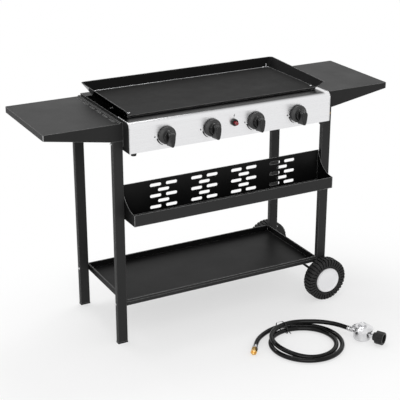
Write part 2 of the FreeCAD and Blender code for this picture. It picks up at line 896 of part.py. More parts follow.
def burner_tubes():
    """Tube burners: an open mouth at the firewall, a row of sawn ports and a rear tab."""
    made = []
    mouth_y = S.firewall_face - S.box_sheet
    length = mouth_y + S.burner_end
    for place in knob_places:
        body = new_body("Burner")
        section = sketch(body, "XZ_Plane")
        outline(section, [
            (S.burner_mouth - S.burner_wall, 0),
            (S.burner_mouth, 0),
            (S.burner_mouth, S.burner_radius),
            (S.burner_radius, S.burner_radius * 2.5),
            (S.burner_radius, length - S.burner_radius),
            (S.burner_radius * 0.7, length),
            (0, length),
            (0, length - S.burner_wall),
            (S.burner_radius * 0.6, length - S.burner_wall),
            (S.burner_radius - S.burner_wall, length - S.burner_radius),
            (S.burner_radius - S.burner_wall, S.burner_radius * 2.5),
            (S.burner_mouth - S.burner_wall, S.burner_radius),
        ])
        revolve(body, section)
        tab = sketch(body, "XY_Plane", length - S.burner_wall)
        half = S.burner_radius * 0.6
        rectangle(tab, -half, half, -S.burner_tab_depth / 2, S.burner_tab_depth / 2)
        pad(body, tab, S.burner_tab)
        port = sketch(body, "XZ_Plane", -S.burner_radius * 0.55)
        first = S.burner_radius * 5
        rectangle(port, -S.burner_radius, S.burner_radius, first, first + S.port_width)
        sawn = pocket(body, port, S.burner_radius, reverse=False)
        run = S.port_pitch * (S.port_count - 1)
        repeat_along(body, [sawn], port, "V_Axis", run, S.port_count)
        made.append(put(body, place, -mouth_y, knob_height, back))
    piece(together("burner_tubes", made), "burner_tubes")


def burner_rest():
    """The folded bar across the box that carries the burners' rear tabs."""
    floor = box_bottom + S.box_sheet
    height = knob_height - S.burner_tab_depth / 2 - floor
    middle = S.burner_end + S.burner_tab / 2
    outer = block("Bar", 2 * box_inner, S.rest_depth, height, 0, middle, floor)
    inner = block("Hollow", 3 * box_inner, S.rest_depth - 2 * S.box_sheet, height - S.box_sheet, 0, middle, floor)
    piece(cut("burner_rest", outer, inner), "burner_rest")


def igniter():
    """The piezo igniter: collar in front of the panel, body behind it, button, spring and probes."""
    height = igniter_height
    face = -S.panel_face
    bore_radius = S.button_radius + S.button_fit
    collar = cylinder("Collar", S.igniter_collar_radius, S.igniter_collar_depth, 0, face, height, front)
    ring_bore = cylinder("Bore", bore_radius, 3 * S.igniter_collar_depth, 0, face + S.igniter_collar_depth,
                         height, front)
    piece(cut("igniter_collar", collar, ring_bore), "igniter_collar")
    inner = S.panel_sheet - S.panel_face
    case = cylinder("Case", S.igniter_body_radius, S.igniter_body_depth, 0, inner, height, back)
    neck = cylinder("Neck", S.igniter_body_radius * 0.8, S.panel_sheet, 0, inner, height, front)
    bore = cylinder("Bore", bore_radius, S.button_bore + S.panel_sheet, 0, inner + S.button_bore, height, front)
    piece(cut("igniter_body", fuse("Body", case, neck), bore), "igniter_body")
    tail = face - S.button_proud + S.button_length
    plunger = cylinder("Plunger", S.button_radius, S.button_length, 0, tail, height, front)
    button = doc.addObject("Part::Fillet", "igniter_button")
    button.Base = plunger
    doc.recompute()
    tip = as_size(S.panel_face + S.button_proud).value
    rims = [number for number, edge in enumerate(plunger.Shape.Edges, 1)
            if edge.Curve.TypeId == "Part::GeomCircle" and abs(edge.CenterOfMass.y + tip) < 1e-3]
    rounding = as_size(S.button_radius * 0.3).value
    button.Edges = [(number, rounding, rounding) for number in rims]
    piece(button, "igniter_button")
    made = []
    flange = S.firewall_face
    for place in knob_places:
        x, z = place + S.electrode_offset, knob_height + S.electrode_rise
        rod = cylinder("Rod", S.electrode_radius, S.electrode_length, x, -flange - 4, z, back)
        disc = cylinder("Disc", S.electrode_radius * 2, 2, x, -flange, z, front)
        made.append(fuse("Electrode", rod, disc))
    piece(together("igniter_electrodes", made), "igniter_electrodes")


def number_of(size):
    return as_size(size).value


def free_shape(label, shape, placement):
    """A sub-part whose shape is made from curves that no sketch gives."""
    obj = doc.addObject("Part::Feature", label)
    own = shape.Placement
    obj.Shape = shape
    obj.Placement = placement.multiply(own)
    obj.Label = label
    pieces.append(obj)
    return obj


def path_start(wire):
    """Where a path begins, and the way it heads there."""
    edge = wire.Edges[0]
    return edge.valueAt(edge.FirstParameter), edge.tangentAt(edge.FirstParameter)


def round_tube(wire, radius):
    """A solid of round section along a path."""
    start, heading = path_start(wire)
    section = Part.Wire(Part.Circle(start, heading, radius).toShape())
    return wire.makePipeShell([section], True, False)


def hexagonal_wire(wire, radius):
    """A solid of hexagonal section along a path, for wire too thin for a round one to show."""
    start, heading = path_start(wire)
    across = heading.cross(Vector(0, 0, 1)).normalize()
    other = heading.cross(across).normalize()
    corners = []
    for step in range(7):
        angle = step * math.pi / 3
        corners.append(start + across * (radius * math.cos(angle)) + other * (radius * math.sin(angle)))
    return wire.makePipeShell([Part.makePolygon(corners)], True, False)


def biarc(start, heading, stop, arrival):
    """Two arcs that join two points and keep both directions."""
    gap = stop - start
    both = heading + arrival
    spread = 2 * (1 - heading.dot(arrival))
    reach = gap.dot(both)
    if spread < 1e-9:
        size = gap.dot(gap) / (2 * reach)
    else:
        size = (math.sqrt(reach ** 2 + spread * gap.dot(gap)) - reach) / spread
    one, two = start + heading * size, stop - arrival * size
    join = (one + two) / 2
    return [arc_under(start, one, join), arc_under(join, two, stop)]


def arc_under(start, apex, stop):
    """The arc from start to stop whose end tangents meet in the apex."""
    middle = (start + stop) / 2
    half = (stop - start).Length / 2
    rise = apex - middle
    angle = math.atan2(rise.Length, half)
    top = middle + rise * (half * math.tan(angle / 2) / rise.Length)
    return Part.Arc(start, top, stop).toShape()


def igniter_spring():
    """The return spring behind the button, three coils."""
    radius, wire_radius = number_of(S.spring_radius), number_of(S.spring_wire) / 2
    rear = number_of(S.panel_sheet - S.panel_face + S.button_bore) - wire_radius
    tip = number_of(S.button_length - S.panel_face - S.button_proud) + wire_radius
    coils = 3
    pitch = (rear - tip - 0.02) / coils
    points, headings = [], []
    for quarter in range(4 * coils + 1):
        angle = quarter * math.pi / 2
        points.append(Vector(radius * math.cos(angle), radius * math.sin(angle), pitch * quarter / 4))
        ahead = Vector(-radius * math.sin(angle), radius * math.cos(angle), pitch / (2 * math.pi))
        headings.append(ahead.normalize())
    parts = []
    for index in range(len(points) - 1):
        parts += biarc(points[index], headings[index], points[index + 1], headings[index + 1])
    shape = hexagonal_wire(Part.Wire(parts), wire_radius)
    place = Vector(0, tip + 0.01 + number_of(shift_y), number_of(igniter_height))
    free_shape("igniter_spring", shape, Placement(place, back))


def bottom_shelf():
    """The bottom shelf's flat pan, up to the folds of its walls."""
    wide, deep = 2 * (leg_inner - S.shelf_rim), S.shelf_gauge - 2 * S.shelf_rim
    pan = block("bottom_shelf", wide, deep, S.shelf_sheet, 0, 0, S.shelf_top - S.shelf_depth)
    piece(pan, "bottom_shelf", -wide / 2, -deep / 2, S.shelf_top - S.shelf_depth)


def shelf_walls():
    """The shelf's upstanding walls: a hemmed one front and back, and one bolted to the legs at each end."""
    half = S.shelf_gauge / 2
    top, foot = S.shelf_top, S.shelf_top - S.shelf_depth
    inside, outside = half - S.shelf_rim, half - S.shelf_hem_step
    made = []
    for end in (-1, 1):
        body = new_body("LongWall")
        section = sketch(body, "YZ_Plane")
        outline(section, [
            (end * inside, foot),
            (end * outside, foot),
            (end * outside, top - S.shelf_hem),
            (end * half, top - S.shelf_hem),
            (end * half, top),
            (end * inside, top),
        ])
        pad(body, section, 2 * leg_inner, both=True)
        made.append(body)
    for side in (-1, 1):
        body = new_body("EndWall")
        face = sketch(body, "YZ_Plane", side * leg_inner)
        rectangle(face, -inside, inside, foot, top)
        for end in (-1, 1):
            circle(face, end * bolt_y, S.shelf_bolt_height, S.bolt_hole_radius)
        pad(body, face, S.shelf_rim, reverse=side > 0)
        made.append(body)
    piece(together("shelf_walls", made), "shelf_walls")


def front_tray():
    """The bottle tray's sheets: slotted back, flat floor and front lip, each up to the fold."""
    top, bottom = S.tray_top, S.tray_bottom
    wide = 2 * (leg_inner - S.tray_sheet)
    rear = S.tray_sheet - tray_back
    back_sheet = new_body("Back")
    face = sketch(back_sheet, "XZ_Plane", -rear)
    rectangle(face, -wide / 2, wide / 2, bottom + S.tray_sheet, top)
    pad(back_sheet, face, S.tray_sheet)
    slots = sketch(back_sheet, "XZ_Plane", tray_back)
    left = -1.5 * S.tray_group_pitch
    for row in range(5):
        height = top - S.tray_row_top - row * S.tray_row_pitch
        steps = (-0.5, 0.5) if row % 2 == 0 else (0,)
        for step in steps:
            obround(slots, left + step * S.tray_slot_gap, height, S.tray_slot_length, S.tray_slot_width)
    group = pocket(back_sheet, slots, 4 * S.tray_sheet, both=True)
    repeat_along(back_sheet, [group], slots, "H_Axis", 3 * S.tray_group_pitch, 4)
    deep = tray_front + rear
    floor = block("Floor", wide, deep, S.tray_sheet, 0, (rear - tray_front) / 2, bottom)
    lip_y = S.tray_sheet / 2 - tray_front
    lip = block("Lip", wide, S.tray_sheet, S.tray_lip - S.tray_sheet, 0, lip_y, bottom + S.tray_sheet)
    piece(together("front_tray", [back_sheet, floor, lip]), "front_tray")


def tray_end(side):
    """An end plate of the tray, its front edge hollowed from the top of the back to the lip."""
    body = new_body("TrayEnd")
    top, bottom = S.tray_top, S.tray_bottom
    lip = bottom + S.tray_lip
    rear = S.tray_sheet - tray_back
    plate = sketch(body, "YZ_Plane", side * leg_inner)
    corners = [
        (-tray_back, top),
        (-tray_front, lip),
        (-tray_front, bottom),
        (rear, bottom),
        (rear, top),
    ]
    start, stop = spot(*corners[0]), spot(*corners[1])
    chord = stop - start
    inward = Vector(-chord.y, chord.x, 0).normalize()
    middle = (start + stop) / 2 + inward * number_of(S.tray_sagitta)
    curve = plate.addGeometry(Part.Arc(start, middle, stop), False)
    flip = plate.getPoint(curve, 1).distanceToPoint(start) > 1e-6
    first, last = (2, 1) if flip else (1, 2)
    lines = []
    for index in range(1, 5):
        ends = spot(*corners[index]), spot(*corners[(index + 1) % 5])
        lines.append(plate.addGeometry(Part.LineSegment(*ends), False))
    plate.addConstraint(Sketcher.Constraint("Coincident", curve, last, lines[0], 1))
    for index in range(3):
        plate.addConstraint(Sketcher.Constraint("Coincident", lines[index], 2, lines[index + 1], 1))
    plate.addConstraint(Sketcher.Constraint("Coincident", lines[3], 2, curve, first))
    for index in range(4):
        pin(plate, lines[index], 1, *corners[index + 1])
    pin(plate, lines[3], 2, *corners[0])
    reach, drop = tray_front - tray_back, top - lip
    sagitta = S.tray_sagitta
    radius = (reach * reach + drop * drop) / (8 * sagitta) + sagitta / 2
    index = plate.addConstraint(Sketcher.Constraint("Radius", curve, radius.value))
    plate.setExpression(f"Constraints[{index}]", radius.text)
    for height in (S.tray_screw_low, S.tray_screw_high):
        circle(plate, -leg_y, height, S.tray_screw_radius + 0.1)
    pad(body, plate, S.tray_sheet, reverse=side > 0)
    return body


def turned(side):
    """A rotation that points a piece's own Z to +X or -X."""
    return Rotation(Vector(0, 1, 0), 90 * side)


def frame_bolts():
    """Bolts through the legs: heads outside, nuts inside the shelf or the box."""
    bolts, nuts = [], []
    levels = (
        (S.shelf_bolt_height, leg_inner - S.shelf_rim),
        (box_bolt_height, box_inner),
        (table_bolt_height, box_inner),
    )
    for side in (-1, 1):
        for end in (-1, 1):
            for height, inner in levels:
                y = end * bolt_y
                tip = inner - S.nut_depth - 1
                shank = cylinder("Shank", S.bolt_radius, leg_outer - tip, side * tip, y, height, turned(side))
                head = doc.addObject("Part::Cone", "Head")
                bind(head, "Radius1", S.bolt_head_radius)
                bind(head, "Radius2", S.bolt_head_radius * 0.6)
                bind(head, "Height", S.bolt_head_depth)
                put(head, side * leg_outer, y, height, turned(side))
                bolts.append(fuse("Bolt", shank, head))
                base = inner - S.nut_depth
                nut = hexagon("Nut", S.nut_radius * 1.7, S.nut_depth, side * base, y, height, turned(side))
                hole = cylinder("Hole", S.bolt_radius + 0.05, S.nut_depth * 3, side * (base - 3), y, height,
                                turned(side))
                nuts.append(cut("Nut", nut, hole))
    piece(together("frame_bolts", bolts), "frame_bolts")
    piece(together("frame_nuts", nuts), "frame_nuts")


def tray_screws():
    made = []
    for side in (-1, 1):
        for height in (S.tray_screw_low, S.tray_screw_high):
            inner = leg_inner - S.tray_sheet
            reach = S.tray_sheet + S.leg_wall + 4
            shank = cylinder("Shank", S.tray_screw_radius, reach, side * inner, -leg_y, height, turned(side))
            head = cylinder("Head", S.tray_screw_head, 3, side * inner, -leg_y, height, turned(-side))
            made.append(fuse("Screw", shank, head))
    piece(together("tray_screws", made), "tray_screws")


def tyre(label, end):
    """A lugged tyre: crossways tread bars that run on down the outer wall as ribs."""
    body = new_body(label)
    half, radius, bore = S.wheel_width / 2, S.wheel_radius, S.tyre_bore
    section = sketch(body, "XZ_Plane")
    shoulder = S.tyre_shoulder
    outline(section, [
        (bore, -half + shoulder / 2),
        (bore + shoulder, -half),
        (radius - shoulder, -half),
        (radius, -half + shoulder),
        (radius, half - shoulder),
        (radius - shoulder, half),
        (bore + shoulder, half),
        (bore, half - shoulder / 2),
    ])
    revolve(body, section)
    groove = sketch(body, "XY_Plane")
    gap = S.lug_gap / 2
    rectangle(groove, -gap, gap, radius - S.lug_depth, radius + S.lug_depth)
    tread = pocket(body, groove, 2 * S.wheel_width, both=True)
    wall = sketch(body, "XY_Plane", half)
    rectangle(wall, -gap * 0.8, gap * 0.8, bore + shoulder * 1.2, radius + S.lug_depth)
    side = pocket(body, wall, S.wall_groove)
    repeat_round(body, [tread, side], groove, S.lug_count)
    piece(body, label, leg_x, end * wheel_y, S.wheel_radius, front if end < 0 else back)


def rim(label, end):
    """A moulded rim: long hub, stiff web and the ring inside the tyre."""
    body = new_body(label)
    half = S.wheel_width / 2
    outer = S.tyre_bore - S.rim_clearance
    inner = outer - S.rim_wall
    bore = S.axle_radius + S.axle_fit
    near_end = S.axle_washer + S.hub_gap - S.wheel_offset
    far_end = half - S.axle_nut_depth - 3
    web = S.rim_web / 2
    lip = S.tyre_shoulder / 2
    section = sketch(body, "XZ_Plane")
    outline(section, [
        (bore, near_end),
        (S.hub_radius, near_end),
        (S.hub_radius, -web),
        (inner, -web),
        (inner, -half + lip),
        (outer, -half + lip),
        (outer, half - lip),
        (inner, half - lip),
        (inner, web),
        (S.hub_radius, web),
        (S.hub_radius, far_end),
        (bore, far_end),
    ])
    revolve(body, section)
    stiffener = sketch(body, "YZ_Plane")
    outline(stiffener, [
        (S.hub_radius - 1, web - 0.5),
        (inner + 1, web - 0.5),
        (inner + 1, half * 0.4),
        (S.hub_radius - 1, half * 0.4),
    ])
    rib = pad(body, stiffener, 3, both=True)
    turn = sketch(body, "XY_Plane")
    circle(turn, 0, 0, bore)
    repeat_round(body, [rib], turn, 6)
    piece(body, label, leg_x, end * wheel_y, S.wheel_radius, front if end < 0 else back)


def hub_cap(label, end):
    """The light cap over the wheel's middle: a shallow dish with a raised rim."""
    body = new_body(label)
    half = S.wheel_width / 2
    radius, thick, proud = S.hub_cap_radius, S.hub_cap_sheet, S.hub_cap_proud
    base = half - S.tyre_shoulder / 2
    skirt = S.tyre_bore - S.rim_clearance - S.rim_wall - 0.1
    section = sketch(body, "XZ_Plane")
    outline(section, [
        (0, half + proud * 0.5),
        (radius * 0.8, half + proud * 0.35),
        (radius * 0.86, half + proud),
        (radius * 0.95, half + proud),
        (radius, base + thick),
        (radius, base),
        (skirt, base),
        (skirt, base - 2 * thick),
        (skirt - thick, base - 2 * thick),
        (skirt - thick, base - 0.2),
        (radius * 0.8, half + proud * 0.35 - thick),
        (0, half + proud * 0.5 - thick),
    ])
    revolve(body, section)
    piece(body, label, leg_x, end * wheel_y, S.wheel_radius, front if end < 0 else back)


def axle():
    """The fixed axle through both right legs, with its washers and end nuts."""
    tip = wheel_y + S.wheel_width / 2 - 4
    z = S.wheel_radius
    piece(cylinder("axle", S.axle_radius, 2 * tip), "axle", leg_x, tip, z, front)
    washers, nuts = [], []
    for end, turn in ((-1, front), (1, back)):
        ring = cylinder("Ring", S.axle_washer_radius, S.axle_washer, leg_x, end * leg_face, z, turn)
        hole = cylinder("Hole", S.axle_radius + 0.05, 4 * S.axle_washer, leg_x, end * (leg_face - 2), z, turn)
        washers.append(cut("Washer", ring, hole))
        start = wheel_y + S.wheel_width / 2 - S.axle_nut_depth - 3 + S.hub_gap
        nut = cylinder("Cap", S.axle_nut_radius, S.axle_nut_depth, leg_x, end * start, z, turn)
        depth = tip - start + 0.05
        bore = cylinder("Bore", S.axle_radius + 0.02, depth + 2, leg_x, end * (start - 2), z, turn)
        nuts.append(cut("Cap", nut, bore))
    piece(together("axle_washers", washers), "axle_washers")
    piece(together("axle_nuts", nuts), "axle_nuts")


def route(points, diameter, label):
    """Straight runs joined by tangent arcs, each arc as large as its two runs allow."""
    points = [Vector(*point) for point in points]
    parts, radii = [], []
    start = points[0]
    for before, point, after in zip(points, points[1:], points[2:]):
        run_in, run_out = point - before, after - point
        turn = run_in.getAngle(run_out)
        trim = 0.45 * min(run_in.Length, run_out.Length)
        radii.append(trim / math.tan(turn / 2))
        one = point - run_in.normalize() * trim
        two = point + run_out.normalize() * trim
        parts.append(Part.LineSegment(start, one).toShape())
        parts.append(arc_under(one, point, two))
        start = two
    parts.append(Part.LineSegment(start, points[-1]).toShape())
    wire = Part.Wire(parts)
    print(f"{label}: length {wire.Length:.1f}, smallest bend {min(radii):.1f}, {min(radii) / diameter:.1f} diameters")
    return wire


def ease(value):
    """A smooth step from 0 to 1."""
    value = min(max(value, 0.0), 1.0)
    return value * value * (3 - 2 * value)


def coil_point(turns):
    """Where the hose lies after so many turns, clockwise from the coil's far side.

    The first turn keeps the outer radius and then draws in under the second. The second lies
    inside it, and climbs over it in its third quarter.
    """
    radius, step = number_of(S.coil_radius), number_of(S.coil_step)
    low = number_of(S.hose_diameter / 2 + S.hose_lift)
    first = turns if turns < 1 else turns - 1
    own = radius - step * ease((first - 0.7) / 0.3) * (1 if turns < 1 else 0)
    if turns < 1:
        away, height = own, low
    else:
        climb = math.radians(80) * ease((turns - 1.45) / 0.35)
        away = radius - step * math.cos(climb)
        height = low + number_of(S.coil_layer) * math.sin(climb)
    angle = 2 * math.pi * turns
    return Vector(away * math.sin(angle), away * math.cos(angle), height)


def hose_coil(placement):
    """Two turns of hose as one tube, with a straight end of one diameter on each side."""
    diameter = number_of(S.hose_diameter)
    stations = [index / 4 for index in range(9)]
    points = [coil_point(turns) for turns in stations]
    headings = []
    for turns in stations:
        ahead = coil_point(turns + 0.002) - coil_point(turns - 0.002)
        headings.append(ahead.normalize())
    flat = Vector(1, 0, 0)
    headings[0], headings[-1] = flat, flat
    parts = [Part.LineSegment(points[0] - flat * diameter, points[0]).toShape()]
    for index in range(8):
        parts += biarc(points[index], headings[index], points[index + 1], headings[index + 1])
    parts.append(Part.LineSegment(points[-1], points[-1] + flat * diameter).toShape())
    wire = Part.Wire(parts)
    line = wire.discretize(Distance=3)
    gap = min(one.distanceToPoint(two) for index, one in enumerate(line) for two in line[index + 40:])
    print(f"hose_coil: length {wire.Length:.1f}, least gap to itself {gap - diameter:.2f}")
    shape = round_tube(wire, diameter / 2)
    share = shape.Volume / (wire.Length * math.pi * diameter ** 2 / 4)
    print(f"hose_coil: volume over section times length {share:.4f}")
    free_shape("hose_coil", shape, placement)
    return points[0] - flat * diameter, points[-1] + flat * diameter


def hose_lead(label, points, placement):
    diameter = number_of(S.hose_diameter)
    wire = route(points, diameter, label)
    shape = round_tube(wire, diameter / 2)
    share = shape.Volume / (wire.Length * math.pi * diameter ** 2 / 4)
    print(f"{label}: volume over section times length {share:.4f}")
    free_shape(label, shape, placement)
    return shape


def aimed(point, heading):
    """A placement at a point whose own Z lies along a heading."""
    return Placement(point, Rotation(Vector(0, 0, 1), heading))


def solid_of_turn(points, placement):
    """A solid of revolution about its own Z, from an outline of radius and height."""
    outer = [Vector(radius, 0, height) for radius, height in points]
    face = Part.Face(Part.makePolygon(outer + outer[:1]))
    shape = face.revolve(Vector(), Vector(0, 0, 1), 360)
    shape.Placement = placement
    return shape


def gas_hose():
    """The hose with its fittings, laid on the floor in front of the wheels."""
    turn = Rotation(Vector(0, 0, 1), number_of(S.coil_turn))
    place = Vector(number_of(S.coil_x), number_of(S.coil_y + shift_y), 0)
    placement = Placement(place, turn)
    start, stop = hose_coil(placement)
    low = start.z
    nut_z = number_of(S.flare_nut_flats) / math.sqrt(3) + 1
    end = Vector(-195, -37, nut_z)
    following = Vector(-187, 10, (nut_z + low) / 2)
    burner_points = [
        end, following, (-167, 55, low), (-135, 97, low), (-98, 126, low), (-60, start.y, low), start,
    ]
    hose_lead("hose_lead_burner", burner_points, placement)
    axis = number_of(S.regulator_axis)
    regulator_points = [stop]
    for turn_angle, share in ((0, 0), (-7, 0.25), (-15, 0.7), (-26, 1), (-40, 1)):
        heading = Vector(math.cos(math.radians(turn_angle)), math.sin(math.radians(turn_angle)), 0)
        ahead = regulator_points[-1] + heading * number_of(S.lead_run)
        ahead.z = stop.z + (axis - stop.z) * share
        regulator_points.append(ahead)
    last = regulator_points[-1]
    hose_lead("hose_lead_regulator", regulator_points, placement)
    outward = (end - following).normalize()
    outer, length = number_of(S.ferrule_radius), number_of(S.ferrule_length)
    nose, reach = number_of(S.nose_radius), number_of(S.nose_length)
    sleeve = [(0, 0), (outer * 0.93, 0), (outer, 1.5), (outer, length * 0.4), (outer * 0.88, length * 0.5),
              (outer, length * 0.6), (outer, length - 1.5), (outer * 0.9, length)]
    with_nose = sleeve + [(nose, length), (nose, length + reach), (0, length + reach)]
    one = solid_of_turn(with_nose, aimed(end, outward))
    two = solid_of_turn(sleeve + [(0, length)], aimed(last, heading))
    free_shape("hose_ferrules", Part.makeCompound([one, two]), placement)
    flare_nut(end + outward * (length + 0.2), outward, placement)
    regulator(last + heading * length, heading, placement)
    hose_tie(placement)


def flare_nut(point, outward, placement):
    """The brass nut that turns on the hose's nose and takes the burner's inlet."""
    flats, length = number_of(S.flare_nut_flats), number_of(S.flare_nut_length)
    nose = number_of(S.nose_radius)
    corner = flats / math.sqrt(3)
    rim = [Vector(corner * math.cos(math.radians(60 * step)), corner * math.sin(math.radians(60 * step)), 0)
           for step in range(7)]
    solid = Part.Face(Part.makePolygon(rim)).extrude(Vector(0, 0, length))
    bore = Part.makeCylinder(nose + 0.05, length)
    mouth = Part.makeCylinder(number_of(S.inlet_radius) + 0.05, length, Vector(0, 0, number_of(S.nose_length)))
    solid = solid.cut(bore.fuse(mouth))
    solid.Placement = aimed(point, outward).multiply(solid.Placement)
    free_shape("flare_nut", solid, placement)


def regulator(point, heading, placement):
    """The regulator: round body with a crimped rim and a raised bonnet, and its handwheel."""
    axis, radius = number_of(S.regulator_axis), number_of(S.regulator_radius)
    port, nipple_radius = number_of(S.regulator_port), number_of(S.nipple_radius)
    centre = point + heading * port
    base = Placement(Vector(centre.x, centre.y, 1), Rotation())
    profile = ((0, 0), (0.55, 0), (0.76, 0.12), (0.82, 0.24), (0.82, 0.97), (1, 1.03), (1, 1.18), (0.88, 1.27),
               (0.67, 1.36), (0.42, 1.39), (0.42, 1.54), (0, 1.57))
    body = solid_of_turn([(away * radius, height * radius) for away, height in profile], base)
    stub = Part.makeCylinder(nipple_radius, port - radius * 0.6)
    stub.Placement = aimed(point, heading)
    away = Vector(math.cos(math.radians(-32)), math.sin(math.radians(-32)), 0)
    out = Vector(centre.x, centre.y, axis)
    start = number_of(S.handwheel_start)
    nipple = Part.makeCylinder(nipple_radius, start)
    nipple.Placement = aimed(out, away)
    free_shape("regulator_body", body.fuse([stub, nipple]).removeSplitter(), placement)
    length, outer = number_of(S.handwheel_length), number_of(S.handwheel_radius)
    bore, overlap = nipple_radius + 0.05, number_of(S.nipple_overlap)
    socket, depth = number_of(S.connection_radius), number_of(S.connection_depth)
    outline_points = [
        (bore, 0), (outer * 0.62, 0), (outer * 0.72, length * 0.2), (outer, length * 0.28), (outer, length - 2),
        (outer - 2, length), (socket, length), (socket, length - depth), (bore, length - depth),
    ]
    wheel = solid_of_turn(outline_points, Placement())
    notches = []
    for step in range(10):
        notch = Part.makeCylinder(outer * 0.12, length, Vector(outer * 1.05, 0, length * 0.2))
        notch.rotate(Vector(), Vector(0, 0, 1), 36 * step)
        notches.append(notch)
    wheel = wheel.cut(notches)
    wheel.Placement = aimed(out + away * (start - overlap), away)
    free_shape("regulator_handwheel", wheel, placement)


def hose_tie(placement):
    """A flat tie round the strands where the hose joins its coil."""
    band, width, grip = number_of(S.tie_band), number_of(S.tie_width), number_of(S.tie_grip)
    radius = number_of(S.hose_diameter) / 2
    low, near_strand, far_strand = number_of(S.hose_lift) - grip, number_of(S.tie_near), number_of(S.tie_far)
    over = coil_point(1 + number_of(S.tie_place))

    def loop(grow):
        one, two = near_strand - radius - grow, far_strand + radius + grow
        bottom, top = low + grip - grow, over.z + radius + grow
        shoulder = low + 2 * radius + grow
        across = math.hypot(over.x, over.y)
        corners = [(one, bottom), (two, bottom), (two, shoulder), (across + radius, top), (across - radius, top),
                   (one, shoulder)]
        points = [Vector(away, -width / 2, height) for away, height in corners]
        return Part.Face(Part.makePolygon(points + points[:1])).extrude(Vector(0, width, 0))

    shape = loop(grip + band).cut(loop(grip))
    shape.rotate(Vector(), Vector(0, 0, 1), 90 - 360 * (number_of(S.tie_place) - 1))
    free_shape("hose_tie", shape, placement)


for side, side_name in ((-1, "left"), (1, "right")):
    for end, end_name in ((-1, "front"), (1, "back")):
        leg(f"leg_{end_name}_{side_name}", side, end)
plugs("foot_caps", -1, S.left_leg_bottom, S.left_leg_bottom)
plugs("leg_end_plugs", 1, S.right_leg_bottom, S.end_plug_cap)
table("left_table", -1)
table("right_table", 1)
bottom_shelf()
shelf_walls()
front_tray()
piece(together("tray_ends", [tray_end(side) for side in (-1, 1)]), "tray_ends")
burner_box()
control_panel()
box_feet()
griddle_plate()
plate_feet()
for number, place in enumerate(knob_places, 1):
    knob(number, place)
    valve_stem(number, place)
    spring_seat(number, place)
gas_valves()
manifold()
inlet_fitting()
burner_tubes()
burner_rest()
igniter()
igniter_spring()
for end, end_name in ((-1, "front"), (1, "back")):
    tyre(f"tyre_{end_name}", end)
    rim(f"rim_{end_name}", end)
    hub_cap(f"hub_cap_{end_name}", end)
axle()
frame_bolts()
tray_screws()
gas_hose()

doc.recompute()
faults = [obj.Name for obj in doc.Objects if {"Invalid", "Error"} & set(obj.State)]
for obj in pieces:
    if obj.Shape.isNull() or not obj.Shape.isValid() or not obj.Shape.Solids:
        faults.append(obj.Label)
if faults:
    raise RuntimeError(f"not built: {faults}")
os.makedirs("parts", exist_ok=True)
for obj in pieces:
    obj.Shape.exportStep(f"parts/{obj.Label}.step")
print(f"{len(pieces)} pieces written")
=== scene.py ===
"""Outdoor gas griddle station: camera, studio, finishes and the pieces that only the looks need."""

import json
import math

import bmesh
import bpy
from mathutils import Matrix, Vector

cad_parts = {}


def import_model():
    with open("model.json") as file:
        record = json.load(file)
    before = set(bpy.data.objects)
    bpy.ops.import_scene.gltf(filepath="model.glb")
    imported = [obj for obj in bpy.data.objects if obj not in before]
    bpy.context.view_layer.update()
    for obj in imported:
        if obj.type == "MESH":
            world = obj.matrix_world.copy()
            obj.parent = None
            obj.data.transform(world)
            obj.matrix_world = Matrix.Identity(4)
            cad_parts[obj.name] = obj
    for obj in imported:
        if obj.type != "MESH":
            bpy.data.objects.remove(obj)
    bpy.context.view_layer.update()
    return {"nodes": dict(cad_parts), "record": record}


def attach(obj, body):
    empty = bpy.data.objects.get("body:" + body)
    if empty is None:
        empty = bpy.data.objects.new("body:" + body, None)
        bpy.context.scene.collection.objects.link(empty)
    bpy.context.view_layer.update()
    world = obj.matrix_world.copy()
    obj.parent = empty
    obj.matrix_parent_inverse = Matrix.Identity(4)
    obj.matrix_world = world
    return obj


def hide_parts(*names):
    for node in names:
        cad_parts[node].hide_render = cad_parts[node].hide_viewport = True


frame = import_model()
NODES = frame["nodes"]
SCENE = bpy.context.scene

# Sizes and places on the part's solids, in metres, that the pieces below are made and set to.
SHIFT_Y = 0.012
PANEL_FACE = -0.2455 + SHIFT_Y
PANEL_HALF = 0.4228
PANEL_TOP, PANEL_BOTTOM, PANEL_CORNER = 0.8858, 0.7735, 0.0198
FLANGE_REAR = -0.150 + SHIFT_Y
KNOB_HEIGHT = 0.824
KNOB_PLACES = (-0.2775, -0.0925, 0.0925, 0.2775)
KNOB_BACK = PANEL_FACE - 0.004
IGNITER_SIGN_HEIGHT = 0.854
PLATE_HALF, PLATE_FRONT, PLATE_BACK = 0.3972, -0.172 + SHIFT_Y, 0.1702 + SHIFT_Y
PLATE_BEND, PLATE_FLOOR = 0.016, 0.8954
TRAY_FACE = -0.170
INLET_MOUTH = (0.4285, -0.214 + SHIFT_Y, 0.794)
TABLE_TOP = 0.87505
BOLT_FACE, BOLT_DEPTH, BOLT_HEIGHTS = 0.47005, 0.181, (0.163, 0.799, 0.845)


# Camera

def add_camera():
    """The photograph's viewpoint: yaw -28 degrees, pitch 21.5 degrees."""
    data = bpy.data.cameras.new("Camera")
    data.lens = 100.0
    data.sensor_width = 36.0
    data.sensor_fit = "HORIZONTAL"
    data.clip_end = 60.0
    camera = bpy.data.objects.new("Camera", data)
    place = Vector((-1.9475, -3.6274, 2.0622))
    target = Vector((-0.0129, 0.0095, 0.4397))
    camera.location = place
    camera.rotation_euler = (target - place).to_track_quat("-Z", "Y").to_euler()
    SCENE.collection.objects.link(camera)
    SCENE.camera = camera


add_camera()


# Node graphs

